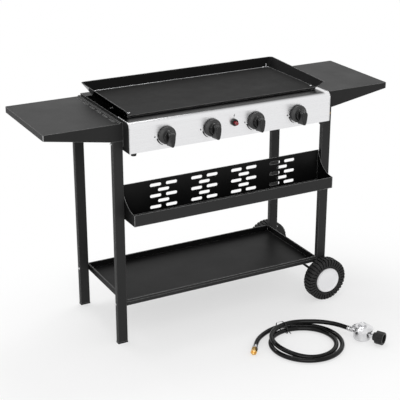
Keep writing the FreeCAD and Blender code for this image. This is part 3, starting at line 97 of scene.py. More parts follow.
class Graph:
    """A material's nodes, added and joined in one line each."""

    def __init__(self, name):
        self.material = bpy.data.materials.new(name)
        self.material.use_nodes = True
        self.nodes = self.material.node_tree.nodes
        self.links = self.material.node_tree.links
        self.nodes.clear()
        self.output = self.nodes.new("ShaderNodeOutputMaterial")

    def add(self, kind, settings=None, **inputs):
        """A new node, its inputs named by words or by _number, each a value, a socket or a node."""
        node = self.nodes.new("ShaderNode" + kind)
        for key, value in (settings or {}).items():
            setattr(node, key, value)
        for key, value in inputs.items():
            self.feed(node, key, value)
        return node

    def feed(self, node, key, value):
        socket = node.inputs[int(key[1:])] if key[0] == "_" else node.inputs[key.replace("_", " ")]
        if isinstance(value, bpy.types.NodeSocket):
            self.links.new(value, socket)
        elif isinstance(value, bpy.types.Node):
            self.links.new(value.outputs[0], socket)
        else:
            socket.default_value = value

    def place(self, scale):
        """A point's place on the object, stretched along the axes by this scale."""
        where = self.add("TexCoord")
        return self.add("Mapping", Vector=where.outputs["Object"], Scale=scale)

    def noise(self, scale, detail=3.0, roughness=0.5, stretch=(1, 1, 1)):
        where = self.place(stretch)
        return self.add("TexNoise", Vector=where, Scale=scale, Detail=detail, Roughness=roughness)

    def spread(self, value, low, high, out_low=0.0, out_high=1.0):
        """A value's range stretched to another one, and held at its ends."""
        return self.add("MapRange", _0=value, _1=low, _2=high, _3=out_low, _4=out_high)

    def tint(self, factor, first, second):
        """The first colour turning into the second as the factor goes from 0 to 1."""
        mix = self.add("Mix", {"data_type": "RGBA"})
        self.feed(mix, "_0", factor)
        self.feed(mix, "_6", first)
        self.feed(mix, "_7", second)
        return mix.outputs[2]

    def rounded_edges(self, radius):
        """The surface's normal as if its edges had this radius."""
        return self.add("Bevel", {"samples": 4}, Radius=radius)

    def edge_wear_and_highlight(self, radius, low, high):
        """How near a point lies to an edge, from how far its rounded normal turns from the plain one."""
        rounded = self.rounded_edges(radius)
        plain = self.add("NewGeometry")
        turn = self.add("VectorMath", {"operation": "DOT_PRODUCT"}, _0=rounded, _1=plain.outputs["Normal"])
        bend = self.add("Math", {"operation": "SUBTRACT"}, _0=1.0, _1=turn.outputs["Value"])
        return self.spread(bend, low, high)

    def times(self, first, second):
        """The product of two values."""
        return self.add("Math", {"operation": "MULTIPLY"}, _0=first, _1=second)

    def bump(self, height, strength, distance, normal=None):
        """Relief from a height, on top of another normal if one is given."""
        node = self.add("Bump", Height=height, Strength=strength, Distance=distance)
        if normal is not None:
            self.feed(node, "Normal", normal)
        return node

    def finish(self, **inputs):
        """The material, with these inputs on its one shader."""
        shader = self.add("BsdfPrincipled", **inputs)
        self.links.new(shader.outputs[0], self.output.inputs["Surface"])
        return self.material


def rgb(value, *rest):
    """An opaque linear colour from one grey or three channels."""
    red, green, blue = (value, value, value) if not rest else (value, *rest)
    return (red, green, blue, 1.0)


# Finishes

def coated_metal(name, base, edge, level):
    """Powder-coated or enamelled sheet: orange-peel grain, cloudy gloss and lighter edges, partly scuffed
    and partly painted highlight.
    """
    graph = Graph(name)
    cloud = graph.noise(4.0, 4.0, 0.6)
    grains = graph.noise(900.0, 2.0, 0.5)
    edges_worn_and_lit = graph.edge_wear_and_highlight(0.0024, 0.01, 0.12)
    specks = graph.spread(graph.noise(260.0, 3.0, 0.7), 0.25, 0.6, 0.45, 1.0)
    rubbed_and_lit_edges = graph.times(edges_worn_and_lit, specks)
    tone = graph.tint(graph.spread(cloud, 0.3, 0.7), rgb(base * 0.85), rgb(base * 1.2))
    # Lighter edges: partly scuffed coat, partly painted highlight.
    colour = graph.tint(rubbed_and_lit_edges, tone, rgb(edge))
    gloss = graph.spread(cloud, 0.3, 0.7, 0.42, 0.55)
    rounded = graph.rounded_edges(0.0012)
    relief = graph.bump(grains, 0.12, 0.0003, rounded)
    return graph.finish(Base_Color=colour, Roughness=gloss, Specular_IOR_Level=level, Normal=relief)


def shaded_sheet_black():
    """The tray's and the shelf's black coat: like the frame's on the front faces, painted nearly black
    inside them as painted shade, and lighter at the edges, partly scuffed and partly painted highlight.
    """
    graph = Graph("shaded_sheet_black")
    cloud = graph.noise(4.0, 4.0, 0.6)
    grains = graph.noise(900.0, 2.0, 0.5)
    edges_worn_and_lit = graph.edge_wear_and_highlight(0.0024, 0.01, 0.12)
    where = graph.add("TexCoord")
    facing = graph.add("SeparateXYZ", _0=where.outputs["Normal"])
    spot = graph.add("SeparateXYZ", _0=where.outputs["Object"])
    ahead = graph.spread(facing.outputs["Y"], -0.7, -0.9)
    outer = graph.spread(spot.outputs["Y"], TRAY_FACE + 0.001, TRAY_FACE - 0.001)
    front = graph.times(ahead, outer)
    # Inside the tray and the shelf the coat is painted nearly black: painted shade.
    tone = graph.tint(graph.spread(cloud, 0.3, 0.7), rgb(0.0030), rgb(0.0052))
    coat = graph.tint(front, tone, rgb(0.024))
    # Lighter edges: partly scuffed coat, partly painted highlight.
    colour = graph.tint(edges_worn_and_lit, coat, rgb(0.32))
    gloss = graph.spread(cloud, 0.3, 0.7, 0.38, 0.5)
    rounded = graph.rounded_edges(0.0012)
    relief = graph.bump(grains, 0.12, 0.0003, rounded)
    return graph.finish(Base_Color=colour, Roughness=gloss, Specular_IOR_Level=0.11, Normal=relief)


def cooking_steel():
    """The plate's seasoned surface: blotches and scraper lines; its raised sides painted nearly black as
    painted shade, with glossy outsides; lighter edges, partly scuffed and partly painted highlight.
    """
    graph = Graph("griddle_steel")
    blotch = graph.noise(9.0, 5.0, 0.65)
    scrape = graph.noise(60.0, 3.0, 0.6, (0.25, 9.0, 1.0))
    fine = graph.noise(1400.0, 2.0)
    edges_worn_and_lit = graph.edge_wear_and_highlight(0.0026, 0.01, 0.12)
    tone = graph.tint(graph.spread(blotch, 0.3, 0.7), rgb(0.007), rgb(0.013, 0.0128, 0.0125))
    lined = graph.tint(graph.spread(scrape, 0.55, 0.8, 0.0, 0.25), tone, rgb(0.024))
    facing = graph.add("SeparateXYZ", _0=graph.add("TexCoord").outputs["Normal"])
    flat = graph.spread(facing.outputs["Z"], 0.93, 0.99)
    # The plate's raised sides are painted darker than its cooking surface: painted shade.
    painted_shade_walls = graph.tint(flat, rgb(0.0012), lined)
    # Lighter edges: partly scuffed, partly painted highlight.
    colour = graph.tint(edges_worn_and_lit, painted_shade_walls, rgb(0.24))
    upwards = graph.spread(facing.outputs["Z"], -0.35, -0.15, 0.24, 1.0)
    underside = graph.spread(facing.outputs["Z"], -0.97, -0.90, 1.0, 0.24)
    matt = graph.add("Math", {"operation": "MAXIMUM"}, _0=upwards, _1=underside)
    gloss = graph.times(graph.spread(blotch, 0.3, 0.7, 0.5, 0.66), matt)
    rounded = graph.rounded_edges(0.0022)
    relief = graph.bump(fine, 0.1, 0.0002, rounded)
    return graph.finish(Base_Color=colour, Roughness=gloss, Specular_IOR_Level=0.08, Normal=relief)


def brushed_steel():
    """Stainless sheet brushed along X, painted dark on the top flange where the plate's front edge hangs
    over it: painted shade and painted reflection of the plate.
    """
    graph = Graph("stainless")
    spot = graph.add("SeparateXYZ", _0=graph.add("TexCoord").outputs["Object"])
    # The painted shade and reflection of the plate lies on the top flange, from the panel's left end to
    # short of its right end.
    inwards = graph.spread(spot.outputs["Y"], PANEL_FACE + 0.002, PANEL_FACE + 0.018)
    inwards.interpolation_type = "SMOOTHSTEP"
    from_left = graph.spread(spot.outputs["X"], -0.4214, -0.4200)
    to_right = graph.spread(spot.outputs["X"], 0.408, 0.398)
    above = graph.spread(spot.outputs["Z"], 0.8645, 0.884)
    painted_plate_shade = graph.times(graph.times(inwards, graph.times(from_left, to_right)), above)
    lines = graph.noise(1.0, 4.0, 0.7, (6.0, 1500.0, 1500.0))
    cloud = graph.noise(7.0, 2.0)
    tone = graph.tint(graph.spread(lines, 0.3, 0.7), rgb(0.76, 0.76, 0.77), rgb(0.86, 0.86, 0.87))
    gloss = graph.spread(lines, 0.3, 0.7, 0.22, 0.34)
    smudge = graph.spread(cloud, 0.35, 0.75, 0.0, 0.05)
    total = graph.add("Math", {"operation": "ADD"}, _0=gloss, _1=smudge)
    relief = graph.bump(lines, 0.06, 0.0001)
    along = graph.add("Tangent", {"direction_type": "RADIAL", "axis": "X"})
    # The top flange is painted nearly black under the plate's front edge: painted shade and painted
    # reflection.
    colour = graph.tint(painted_plate_shade, tone, rgb(0.018))
    return graph.finish(Base_Color=colour, Metallic=1.0, Roughness=total, Anisotropic=0.55, Tangent=along,
                        Normal=relief)


def plain_metal(name, dark, light, rough, grain=500.0, strength=0.1):
    """A bright metal with faint cast or machined grain."""
    graph = Graph(name)
    grains = graph.noise(grain, 3.0, 0.6)
    cloud = graph.noise(25.0, 3.0)
    tone = graph.tint(graph.spread(cloud, 0.3, 0.7), rgb(*dark), rgb(*light))
    gloss = graph.spread(cloud, 0.3, 0.7, *rough)
    relief = graph.bump(grains, strength, 0.0002)
    return graph.finish(Base_Color=tone, Metallic=1.0, Roughness=gloss, Normal=relief)


def moulded(name, dark, light, rough, level, grain=1200.0, strength=0.12, coat=0.0):
    """Moulded plastic, rubber or ceramic: faint tone changes and a spark-eroded grain."""
    graph = Graph(name)
    grains = graph.noise(grain, 2.0, 0.5)
    cloud = graph.noise(14.0, 4.0, 0.6)
    tone = graph.tint(graph.spread(cloud, 0.3, 0.7), rgb(*dark), rgb(*light))
    rounded = graph.rounded_edges(0.0006)
    gloss = graph.spread(cloud, 0.3, 0.7, *rough)
    relief = graph.bump(grains, strength, 0.0002, rounded)
    return graph.finish(Base_Color=tone, Roughness=gloss, Specular_IOR_Level=level, Coat_Weight=coat,
                        Coat_Roughness=0.12, Normal=relief)


def knob_plastic():
    """The knobs' plastic: a matt skirt painted greyer as a painted sheen, and a glossier black grip with its
    sides painted darker than its front as painted shade, and lighter edges, partly scuffed and partly
    painted highlight.
    """
    graph = Graph("knob_black")
    grains = graph.noise(900.0, 2.0, 0.5)
    cloud = graph.noise(14.0, 4.0, 0.6)
    where = graph.add("TexCoord")
    spot = graph.add("SeparateXYZ", _0=where.outputs["Object"])
    skirt = graph.spread(spot.outputs["Y"], KNOB_BACK - 0.0150, KNOB_BACK - 0.0125)
    facing = graph.add("SeparateXYZ", _0=where.outputs["Normal"])
    lit_grip_front = graph.spread(facing.outputs["Y"], -0.35, -0.8)
    cast = graph.tint(graph.spread(cloud, 0.3, 0.7), rgb(0.011), rgb(0.017))
    # The grip's sides are painted darker than its front: painted shade.
    grip_tone_painted_shade = graph.tint(lit_grip_front, rgb(0.0015), cast)
    # The skirt is painted greyer than the grip: painted sheen.
    tone = graph.tint(skirt, grip_tone_painted_shade, rgb(0.034))
    # Lighter edges: partly scuffed, partly painted highlight.
    colour = graph.tint(graph.edge_wear_and_highlight(0.0016, 0.01, 0.18), tone, rgb(0.17))
    gloss = graph.spread(skirt, 0.0, 1.0, 0.26, 0.42)
    rounded = graph.rounded_edges(0.0010)
    relief = graph.bump(grains, 0.08, 0.0002, rounded)
    return graph.finish(Base_Color=colour, Roughness=gloss, Specular_IOR_Level=0.3, Normal=relief)


def tread_rubber():
    """Tyre rubber: dusty lugs and side ribs, lighter at the edges, partly dust and partly painted highlight,
    and painted nearly black in the grooves between them as painted shade.
    """
    graph = Graph("tyre")
    dust = graph.noise(40.0, 4.0, 0.65)
    grains = graph.noise(500.0, 3.0, 0.6)
    # The grooves between lugs and ribs are painted nearly black where they are enclosed: painted shade.
    groove_occlusion = graph.add("AmbientOcclusion", {"samples": 8}, Distance=0.012)
    unshaded_by_grooves = graph.spread(groove_occlusion.outputs["AO"], 0.55, 0.95)
    tone = graph.tint(graph.spread(dust, 0.3, 0.7), rgb(0.013), rgb(0.023))
    # Lighter edges: partly dust, partly painted highlight.
    edges_worn_and_lit = graph.tint(graph.edge_wear_and_highlight(0.0016, 0.01, 0.15), tone, rgb(0.085))
    colour = graph.tint(unshaded_by_grooves, rgb(0.0012), edges_worn_and_lit)
    relief = graph.bump(grains, 0.25, 0.0003)
    return graph.finish(Base_Color=colour, Roughness=0.62, Specular_IOR_Level=0.2, Normal=relief)


def ink():
    """Screen-printed ink on the panel, slightly broken."""
    graph = Graph("panel_ink")
    specks = graph.noise(2500.0, 2.0)
    tone = graph.tint(graph.spread(specks, 0.4, 0.7), rgb(0.012), rgb(0.03))
    return graph.finish(Base_Color=tone, Roughness=0.6)


FINISHES = {
    "frame_black": coated_metal("frame_black", 0.013, 0.26, 0.23),
    "griddle_steel": cooking_steel(),
    "stainless": brushed_steel(),
    "knob_black": knob_plastic(),
    "black_plastic": moulded("black_plastic", (0.008,) * 3, (0.014,) * 3, (0.42, 0.52), 0.3),
    "grey_plastic": moulded("grey_plastic", (0.79, 0.79, 0.80), (0.82, 0.82, 0.83), (0.4, 0.5), 0.4),
    "red_plastic": moulded("red_plastic", (0.14, 0.0015, 0.005), (0.21, 0.004, 0.010), (0.14, 0.2),
                           0.5, 900.0, 0.04, 0.4),
    "rubber": moulded("rubber", (0.014,) * 3, (0.022,) * 3, (0.6, 0.75), 0.3, 600.0, 0.25),
    "tyre": tread_rubber(),
    "brass": plain_metal("brass", (0.66, 0.40, 0.12), (0.86, 0.58, 0.22), (0.2, 0.32)),
    "zinc_steel": plain_metal("zinc_steel", (0.5, 0.5, 0.5), (0.68, 0.68, 0.69), (0.28, 0.4)),
    "ceramic": moulded("ceramic", (0.78, 0.76, 0.7), (0.86, 0.84, 0.79), (0.2, 0.3), 0.5, 900.0, 0.04, 0.3),
    "hose_rubber": moulded("hose_rubber", (0.002,) * 3, (0.004,) * 3, (0.1, 0.16), 0.2, 700.0, 0.04),
    "die_cast": plain_metal("die_cast", (0.55, 0.55, 0.56), (0.8, 0.8, 0.81), (0.16, 0.28), 900.0, 0.12),
}
INK = ink()
SHADED_SHEET = shaded_sheet_black()
TABLE = coated_metal("table_black", 0.012, 0.26, 0.18)
# Zinc painted nearly black: painted shade, for the nuts, screws, axle and burner rest that sit in shade, and
# for the bolts' sockets.
SHADED_ZINC = plain_metal("shaded_zinc", (0.010,) * 3, (0.022,) * 3, (0.45, 0.55))
# Bright steel for the weld beads and for the lines of the plate's painted fold highlight.
WELD_AND_HIGHLIGHT_STEEL = plain_metal("weld_and_highlight_steel", (0.40, 0.40, 0.41), (0.58, 0.58, 0.59), (0.25, 0.35), 900.0, 0.2)
# The slot rims' coat is painted much lighter than the tables': painted highlight.
LIT_RIM = coated_metal("slot_rim_painted_highlight", 0.10, 0.22, 0.3)


def dress_nodes():
    """Every CAD node takes the finish of its slot in the record."""
    for row in frame["record"]["subparts"]:
        node = NODES[row["node"]]
        node.data.materials.clear()
        finish = FINISHES[row["material_slot"]]
        # The tray's and shelf's sheets take the black that is painted darker inside them as painted shade.
        if row["node"] in ("bottom_shelf", "shelf_walls", "front_tray", "tray_ends"):
            finish = SHADED_SHEET
        elif row["node"] in ("left_table", "right_table"):
            finish = TABLE
        # These parts take the zinc painted nearly black as painted shade.
        elif row["node"] in ("frame_nuts", "tray_screws", "axle", "burner_rest"):
            finish = SHADED_ZINC
        node.data.materials.append(finish)


dress_nodes()


# Helpers for pieces

def link(name, data, finish):
    """A new object in the scene, with one finish."""
    piece = bpy.data.objects.new(name, data)
    SCENE.collection.objects.link(piece)
    data.materials.append(finish)
    return piece


def draw_spline(data, kind, points):
    """A spline of a curve through, or drawn to, these points."""
    spline = data.splines.new(kind)
    spline.points.add(len(points) - 1)
    for vertex, point in zip(spline.points, points):
        vertex.co = (*point, 1.0)
    return spline


def prism(bm, near, far):
    """A flat solid between two outlines of the same number of points."""
    near = [bm.verts.new(point) for point in near]
    far = [bm.verts.new(point) for point in far]
    bm.faces.new(near)
    bm.faces.new(far[::-1])
    count = len(near)
    for step in range(count):
        after = (step + 1) % count
        bm.faces.new((near[step], far[step], far[after], near[after]))


def mesh_piece(name, build, finish, smooth=None):
    """A mesh made in bmesh by build(bm), shaded smooth below an angle in degrees."""
    bm = bmesh.new()
    build(bm)
    bmesh.ops.recalc_face_normals(bm, faces=bm.faces)
    mesh = bpy.data.meshes.new(name)
    bm.to_mesh(mesh)
    bm.free()
    if smooth is not None:
        for polygon in mesh.polygons:
            polygon.use_smooth = True
        mesh.set_sharp_from_angle(angle=math.radians(smooth))
    return link(name, mesh, finish)


# The gas hose

HOSE = 0.018
COIL_PLACE = Vector((0.161, -0.5345 + SHIFT_Y, 0.0))
COIL_TURN = math.radians(-28)
COIL_RADIUS, COIL_STEP, COIL_LAYER = 0.138, 0.023, 0.0196
HOSE_LOW = HOSE / 2 + 0.0015
NUT_HEIGHT = 0.022 / math.sqrt(3) + 0.001
REGULATOR_AXIS = 0.027


def on_floor(point):
    """A point of the coil's own frame, in the station's frame."""
    return COIL_PLACE + Matrix.Rotation(COIL_TURN, 3, "Z") @ Vector(point)


def ease(value):
    """A smooth step from 0 to 1."""
    value = min(max(value, 0.0), 1.0)
    return value * value * (3 - 2 * value)


def coil_point(turns):
    """Where the hose lies after so many turns, clockwise from the coil's far side."""
    if turns < 1:
        away, height = COIL_RADIUS - COIL_STEP * ease((turns - 0.7) / 0.3), HOSE_LOW
    else:
        climb = math.radians(80) * ease((turns - 1.45) / 0.35)
        away = COIL_RADIUS - COIL_STEP * math.cos(climb)
        height = HOSE_LOW + COIL_LAYER * math.sin(climb)
    angle = 2 * math.pi * turns
    return Vector((away * math.sin(angle), away * math.cos(angle), height))


def hose_route():
    """From the flare nut, round the coil twice and on to the regulator."""
    middle = (NUT_HEIGHT + HOSE_LOW) / 2
    points = [
        (-0.195, -0.037, NUT_HEIGHT), (-0.187, 0.010, middle), (-0.167, 0.055, HOSE_LOW),
        (-0.135, 0.097, HOSE_LOW), (-0.098, 0.126, HOSE_LOW), (-0.060, 0.138, HOSE_LOW),
    ]
    points = [Vector(point) for point in points]
    points += [coil_point(step / 24) for step in range(49)]
    last = coil_point(2.0) + Vector((HOSE, 0, 0))
    points.append(last)
    top = last.z
    for turn, share in ((0, 0), (-7, 0.25), (-15, 0.7), (-26, 1), (-40, 1)):
        heading = Vector((math.cos(math.radians(turn)), math.sin(math.radians(turn)), 0))
        last = last + heading * 0.0325
        last.z = top + (REGULATOR_AXIS - top) * share
        points.append(last)
    return [on_floor(point) for point in points]


def gas_hose():
    """The whole hose as one smooth curve, in place of its CAD solids."""
    points = hose_route()
    data = bpy.data.curves.new("gas_hose", "CURVE")
    data.dimensions = "3D"
    spline = draw_spline(data, "NURBS", points)
    spline.order_u = 3
    spline.use_endpoint_u = True
    spline.resolution_u = 6
    data.bevel_depth = HOSE / 2
    data.bevel_resolution = 6
    data.use_fill_caps = True
    hose = link("gas_hose", data, FINISHES["hose_rubber"])
    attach(hose, "stand")
    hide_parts("hose_coil", "hose_lead_burner", "hose_lead_regulator")
    return hose, points


HOSE_PIECE, HOSE_POINTS = gas_hose()


# Pieces on the hose

# The regulator lies this far past the hose's last point, in the hose's own direction there.
REGULATOR_AWAY, REGULATOR_LOW, REGULATOR_RADIUS = 0.065, 0.001, 0.041
END_TURN = COIL_TURN + math.radians(-40)
REGULATOR = HOSE_POINTS[-1] + Vector((math.cos(END_TURN), math.sin(END_TURN), 0)) * REGULATOR_AWAY
REGULATOR.z = REGULATOR_LOW


def turned(name, profile, finish, place, direction=(0, 0, 1), steps=48, smooth=35):
    """A closed solid of revolution: (radius, height) points about an axis through place."""
    turn = Vector((0, 0, 1)).rotation_difference(Vector(direction)).to_matrix().to_4x4()
    matrix = Matrix.Translation(place) @ turn

    def build(bm):
        rings = []
        for radius, height in profile:
            if radius < 1e-7:
                rings.append([bm.verts.new(matrix @ Vector((0, 0, height)))])
                continue
            ring = []
            for step in range(steps):
                angle = 2 * math.pi * step / steps
                point = Vector((radius * math.cos(angle), radius * math.sin(angle), height))
                ring.append(bm.verts.new(matrix @ point))
            rings.append(ring)
        pairs = list(zip(rings, rings[1:]))
        if len(rings[0]) > 1:
            pairs.append((rings[-1], rings[0]))
        for one, two in pairs:
            for step in range(steps):
                after = (step + 1) % steps
                corners = [one[step % len(one)], one[after % len(one)]]
                corners += [two[after % len(two)], two[step % len(two)]]
                unique = list(dict.fromkeys(corners))
                if len(unique) > 2:
                    bm.faces.new(unique)

    return mesh_piece(name, build, finish, smooth)


def tube(name, points, radius, finish):
    """A round bar along a smooth line, closed at its ends."""
    data = bpy.data.curves.new(name, "CURVE")
    data.dimensions = "3D"
    spline = draw_spline(data, "NURBS", points)
    spline.order_u = 3
    spline.use_endpoint_u = True
    spline.resolution_u = 5
    data.bevel_depth = radius
    data.bevel_resolution = 2
    data.use_fill_caps = True
    return link(name, data, finish)


def twist_tie():
    """The tie round the strands: a flat band, and its two ends twisted together inside the coil."""
    radius, gap, band, width, bend = HOSE / 2, 0.0006, 0.0008, 0.0045, 0.004
    over = coil_point(1.9)
    across = math.hypot(over.x, over.y)
    inner_strand, outer_strand = 0.118, 0.167
    low, near, far, top = 0.0015, inner_strand - radius, outer_strand + radius, over.z + radius
    shoulder = low + 2 * radius
    corners = [(near, low), (far, low), (far, shoulder), (across + radius, top), (across - radius, top),
               (near, shoulder)]
    turn = Matrix.Rotation(math.radians(126), 3, "Z")

    def rounded(grow):
        """The loop with its corners cut into short curves."""
        line = []
        count = len(corners)
        middle = Vector((sum(c[0] for c in corners) / count, sum(c[1] for c in corners) / count))
        for index, corner in enumerate(corners):
            here = Vector(corner)
            before, after = Vector(corners[index - 1]), Vector(corners[(index + 1) % count])
            start = here + (before - here).normalized() * bend
            stop = here + (after - here).normalized() * bend
            for share in (0, 0.25, 0.5, 0.75, 1):
                point = start.lerp(here, share).lerp(here.lerp(stop, share), share)
                line.append(point + (point - middle).normalized() * grow)
        return line

    def build(bm):
        inner, outer = rounded(gap), rounded(gap + band)
        loops = []
        for side in (-width / 2, width / 2):
            for line in (inner, outer):
                places = [turn @ Vector((point.x, side, max(point.y, 0.0004))) for point in line]
                loops.append([bm.verts.new(on_floor(place)) for place in places])
        order = (loops[0], loops[1], loops[3], loops[2])
        count = len(inner)
        for one, two in zip(order, order[1:] + order[:1]):
            for step in range(count):
                after = (step + 1) % count
                bm.faces.new((one[step], one[after], two[after], two[step]))

    band_piece = mesh_piece("twist_tie_band", build, FINISHES["black_plastic"], 40)
    ends = []
    start = Vector((near - gap - band, 0, shoulder * 0.8))
    for phase in (0, math.pi):
        points = []
        for step in range(9):
            share = step / 8
            swing = 0.0013 * math.sin(math.pi * min(1, share * 4) / 2)
            angle = phase + share * 9
            inwards, sideways = -0.020 * share + 0.001, swing * math.cos(angle)
            up = swing * math.sin(angle) - 0.006 * share
            points.append(on_floor(turn @ (start + Vector((inwards, sideways, up)))))
        ends.append(tube(f"twist_tie_end_{len(ends) + 1}", points, 0.0009, FINISHES["black_plastic"]))
    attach(band_piece, "stand")
    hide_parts("hose_tie")
    for end in ends:
        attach(end, "stand")
    return [band_piece] + ends


def regulator_details():
    """The regulator's stepped bonnet cap, its vent spout and the crimps round its rim."""
    radius = REGULATOR_RADIUS
    rim, shoulder, top = 1.105 * radius, 1.33 * radius, 1.57 * radius
    cap = turned("regulator_bonnet_cap", [
        (0.0, top - 0.001), (0.0135, top - 0.001), (0.0150, top + 0.0004), (0.0150, top + 0.0016),
        (0.0142, top + 0.0024), (0.0112, top + 0.0026), (0.0104, top + 0.0018), (0.0104, top + 0.0012),
        (0.0, top + 0.0010),
    ], FINISHES["die_cast"], REGULATOR)
    spout_place = REGULATOR + Vector((-0.020, -0.016, shoulder))
    spout = turned("regulator_vent_spout", [
        (0.0, 0.0), (0.0052, 0.0), (0.0052, 0.0075), (0.0044, 0.0085), (0.0026, 0.0085), (0.0026, 0.0040),
        (0.0, 0.0040),
    ], FINISHES["die_cast"], spout_place, (-0.35, -0.28, 0.9), 24)

    def crimps(bm):
        for step in range(16):
            turn = Matrix.Rotation(2 * math.pi * (step + 0.5) / 16, 4, "Z")
            outwards = Matrix.Translation((radius - 0.0004, 0, rim))
            place = Matrix.Translation(REGULATOR) @ turn @ outwards
            shape = place @ Matrix.Diagonal((0.0011, 0.0042, 0.0034, 1))
            made = bmesh.ops.create_icosphere(bm, subdivisions=2, radius=1.0)["verts"]
            bmesh.ops.transform(bm, matrix=shape, verts=made)

    dents = mesh_piece("regulator_crimps", crimps, FINISHES["die_cast"], 60)
    pieces = [cap, spout, dents]
    for piece in pieces:
        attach(piece, "stand")
    return pieces


(["hose_ferrules", "flare_nut", "regulator_body", "regulator_handwheel"]
        + twist_tie() + regulator_details())


# The knobs

# The knob's turned part: (radius, depth) from its back to the top of the boss.
KNOB_SKIRT = (
    (0.0, 0.0), (0.0330, 0.0), (0.0336, 0.0008), (0.0336, 0.0040), (0.0322, 0.0085), (0.0290, 0.0105),
    (0.0250, 0.0125), (0.0222, 0.0165), (0.0210, 0.0225), (0.0198, 0.0240), (0.0, 0.0240),
)


def knob_grip(bm, knob_x):
    """The tall drop-shaped grip: half-round above, narrowing to a nose that reaches past the skirt."""
    outline = []
    for step in range(9):
        angle = math.pi * step / 8
        outline.append((0.0115 * math.cos(angle), 0.0085 + 0.0105 * math.sin(angle)))
    outline += [(-0.0113, 0.0060), (-0.0106, -0.0070), (-0.0086, -0.0200), (-0.0064, -0.0300)]
    for step in range(7):
        angle = math.pi + math.pi * step / 6
        outline.append((0.0050 * math.cos(angle), -0.0310 + 0.0050 * math.sin(angle)))
    outline += [(0.0064, -0.0300), (0.0086, -0.0200), (0.0106, -0.0070), (0.0113, 0.0060)]
    layers = ((0.0060, 1.08), (0.0200, 1.02), (0.0440, 0.97), (0.0480, 0.94), (0.0500, 0.86), (0.0505, 0.76))
    rings = []
    for depth, scale in layers:
        y = KNOB_BACK - depth
        rings.append([bm.verts.new((knob_x + u * scale, y, KNOB_HEIGHT + v * scale)) for u, v in outline])
    count = len(outline)
    for one, two in zip(rings, rings[1:]):
        for step in range(count):
            after = (step + 1) % count
            bm.faces.new((one[step], one[after], two[after], two[step]))
    bm.faces.new(rings[0])
    bm.faces.new(rings[-1][::-1])


def dressed_knob(number, knob_x):
    """A knob with the photograph's deeper grip, in the CAD knob's place."""
    finish = FINISHES["knob_black"]
    place = (knob_x, KNOB_BACK, KNOB_HEIGHT)
    skirt = turned(f"control_knob_skirt_{number}", KNOB_SKIRT, finish, place, (0, -1, 0), 56)
    grip = mesh_piece(f"control_knob_grip_{number}", lambda bm: knob_grip(bm, knob_x), finish, 35)
    for piece in (skirt, grip):
        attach(piece, f"control_knob_{number}")
        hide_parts(f"knob_{number}")


for place_number, place_x in enumerate(KNOB_PLACES, 1):
    dressed_knob(place_number, place_x)


# Print on the panel

def printed(name, outlines):
    """Thin ink shapes on the panel's face, from outlines of (x, z)."""
    def build(bm):
        for outline in outlines:
            prism(bm, [(x, PANEL_FACE - 0.00015, z) for x, z in outline],
                  [(x, PANEL_FACE + 0.00005, z) for x, z in outline])

    piece = mesh_piece(name, build, INK)
    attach(piece, "stand")


def crescent(x, z, radius, start, stop, first, last):
    """An arc between two angles in degrees that narrows from one width to another."""
    steps = 24
    outer, inner = [], []
    for step in range(steps + 1):
        share = step / steps
        angle = math.radians(start + (stop - start) * share)
        half = (first + (last - first) * share) / 2
        outer.append((x + (radius + half) * math.cos(angle), z + (radius + half) * math.sin(angle)))
        inner.append((x + (radius - half) * math.cos(angle), z + (radius - half) * math.sin(angle)))
    return outer + inner[::-1]


def flame(x, z, height):
    """A plain drop-shaped flame."""
    shape = ((0.0, -0.5), (0.26, -0.40), (0.36, -0.16), (0.27, 0.06), (0.12, 0.2), (0.08, 0.5), (-0.1, 0.26),
             (-0.2, 0.06), (-0.34, -0.1), (-0.3, -0.36))
    return [(x + u * height, z + v * height) for u, v in shape]


def spark(x, z, height):
    """A plain zigzag."""
    shape = ((0.1, 0.5), (-0.2, -0.04), (-0.02, -0.04), (-0.12, -0.5), (0.22, 0.1), (0.03, 0.1), (0.26, 0.5))
    return [(x + u * height, z + v * height) for u, v in shape]


for place_number, place_x in enumerate(KNOB_PLACES, 1):
    printed(f"heat_scale_{place_number}", [
        crescent(place_x, KNOB_HEIGHT, 0.0386, 194, 246, 0.0062, 0.0018),
        flame(place_x - 0.0465, KNOB_HEIGHT - 0.0010, 0.0080),
    ])
printed("igniter_sign", [spark(0.0, IGNITER_SIGN_HEIGHT, 0.0140)])


# Fasteners, welds and threads

def inlet_thread():
    """The thread on the gas inlet."""
    count, pitch, bore, root, crest = 10, 0.0014, 0.0070, 0.00775, 0.0082
    profile = [(bore, 0.0)]
    for step in range(count):
        start = step * pitch
        profile += [(root, start + 0.0002), (crest, start + 0.0007), (root, start + 0.0012)]
    profile.append((bore, count * pitch))
    piece = turned("inlet_thread", profile, FINISHES["brass"], INLET_MOUTH, (1, 0, 0), 32, 20)
    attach(piece, "stand")


inlet_thread()


def plate_fold_highlight():
    """Bright steel lines in the fold at the plate's back and, finer, along its left side: painted highlight
    of the fold and of the left edge.
    """
    straight, bend_start = PLATE_HALF - PLATE_BEND, PLATE_BACK - PLATE_BEND
    points = []
    for side in (-1, 1):
        corner = []
        for step in range(7):
            angle = math.radians(15 * step)
            x, y = straight + PLATE_BEND * math.cos(angle), bend_start + PLATE_BEND * math.sin(angle)
            corner.append((side * x, y, PLATE_FLOOR))
        corner += [(side * (straight - 0.06 * step), PLATE_BACK, PLATE_FLOOR) for step in range(1, 7)]
        points += corner if side < 0 else corner[::-1]
    run = (bend_start - PLATE_FRONT) / 6
    line = [(-PLATE_HALF, PLATE_FRONT + run * step, PLATE_FLOOR) for step in range(7)]
    # These bright lines are painted highlight, not parts.
    for fold_line in (tube("plate_seam_back", points, 0.0012, WELD_AND_HIGHLIGHT_STEEL), tube("plate_seam_left", line, 0.0007, WELD_AND_HIGHLIGHT_STEEL)):
        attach(fold_line, "griddle")


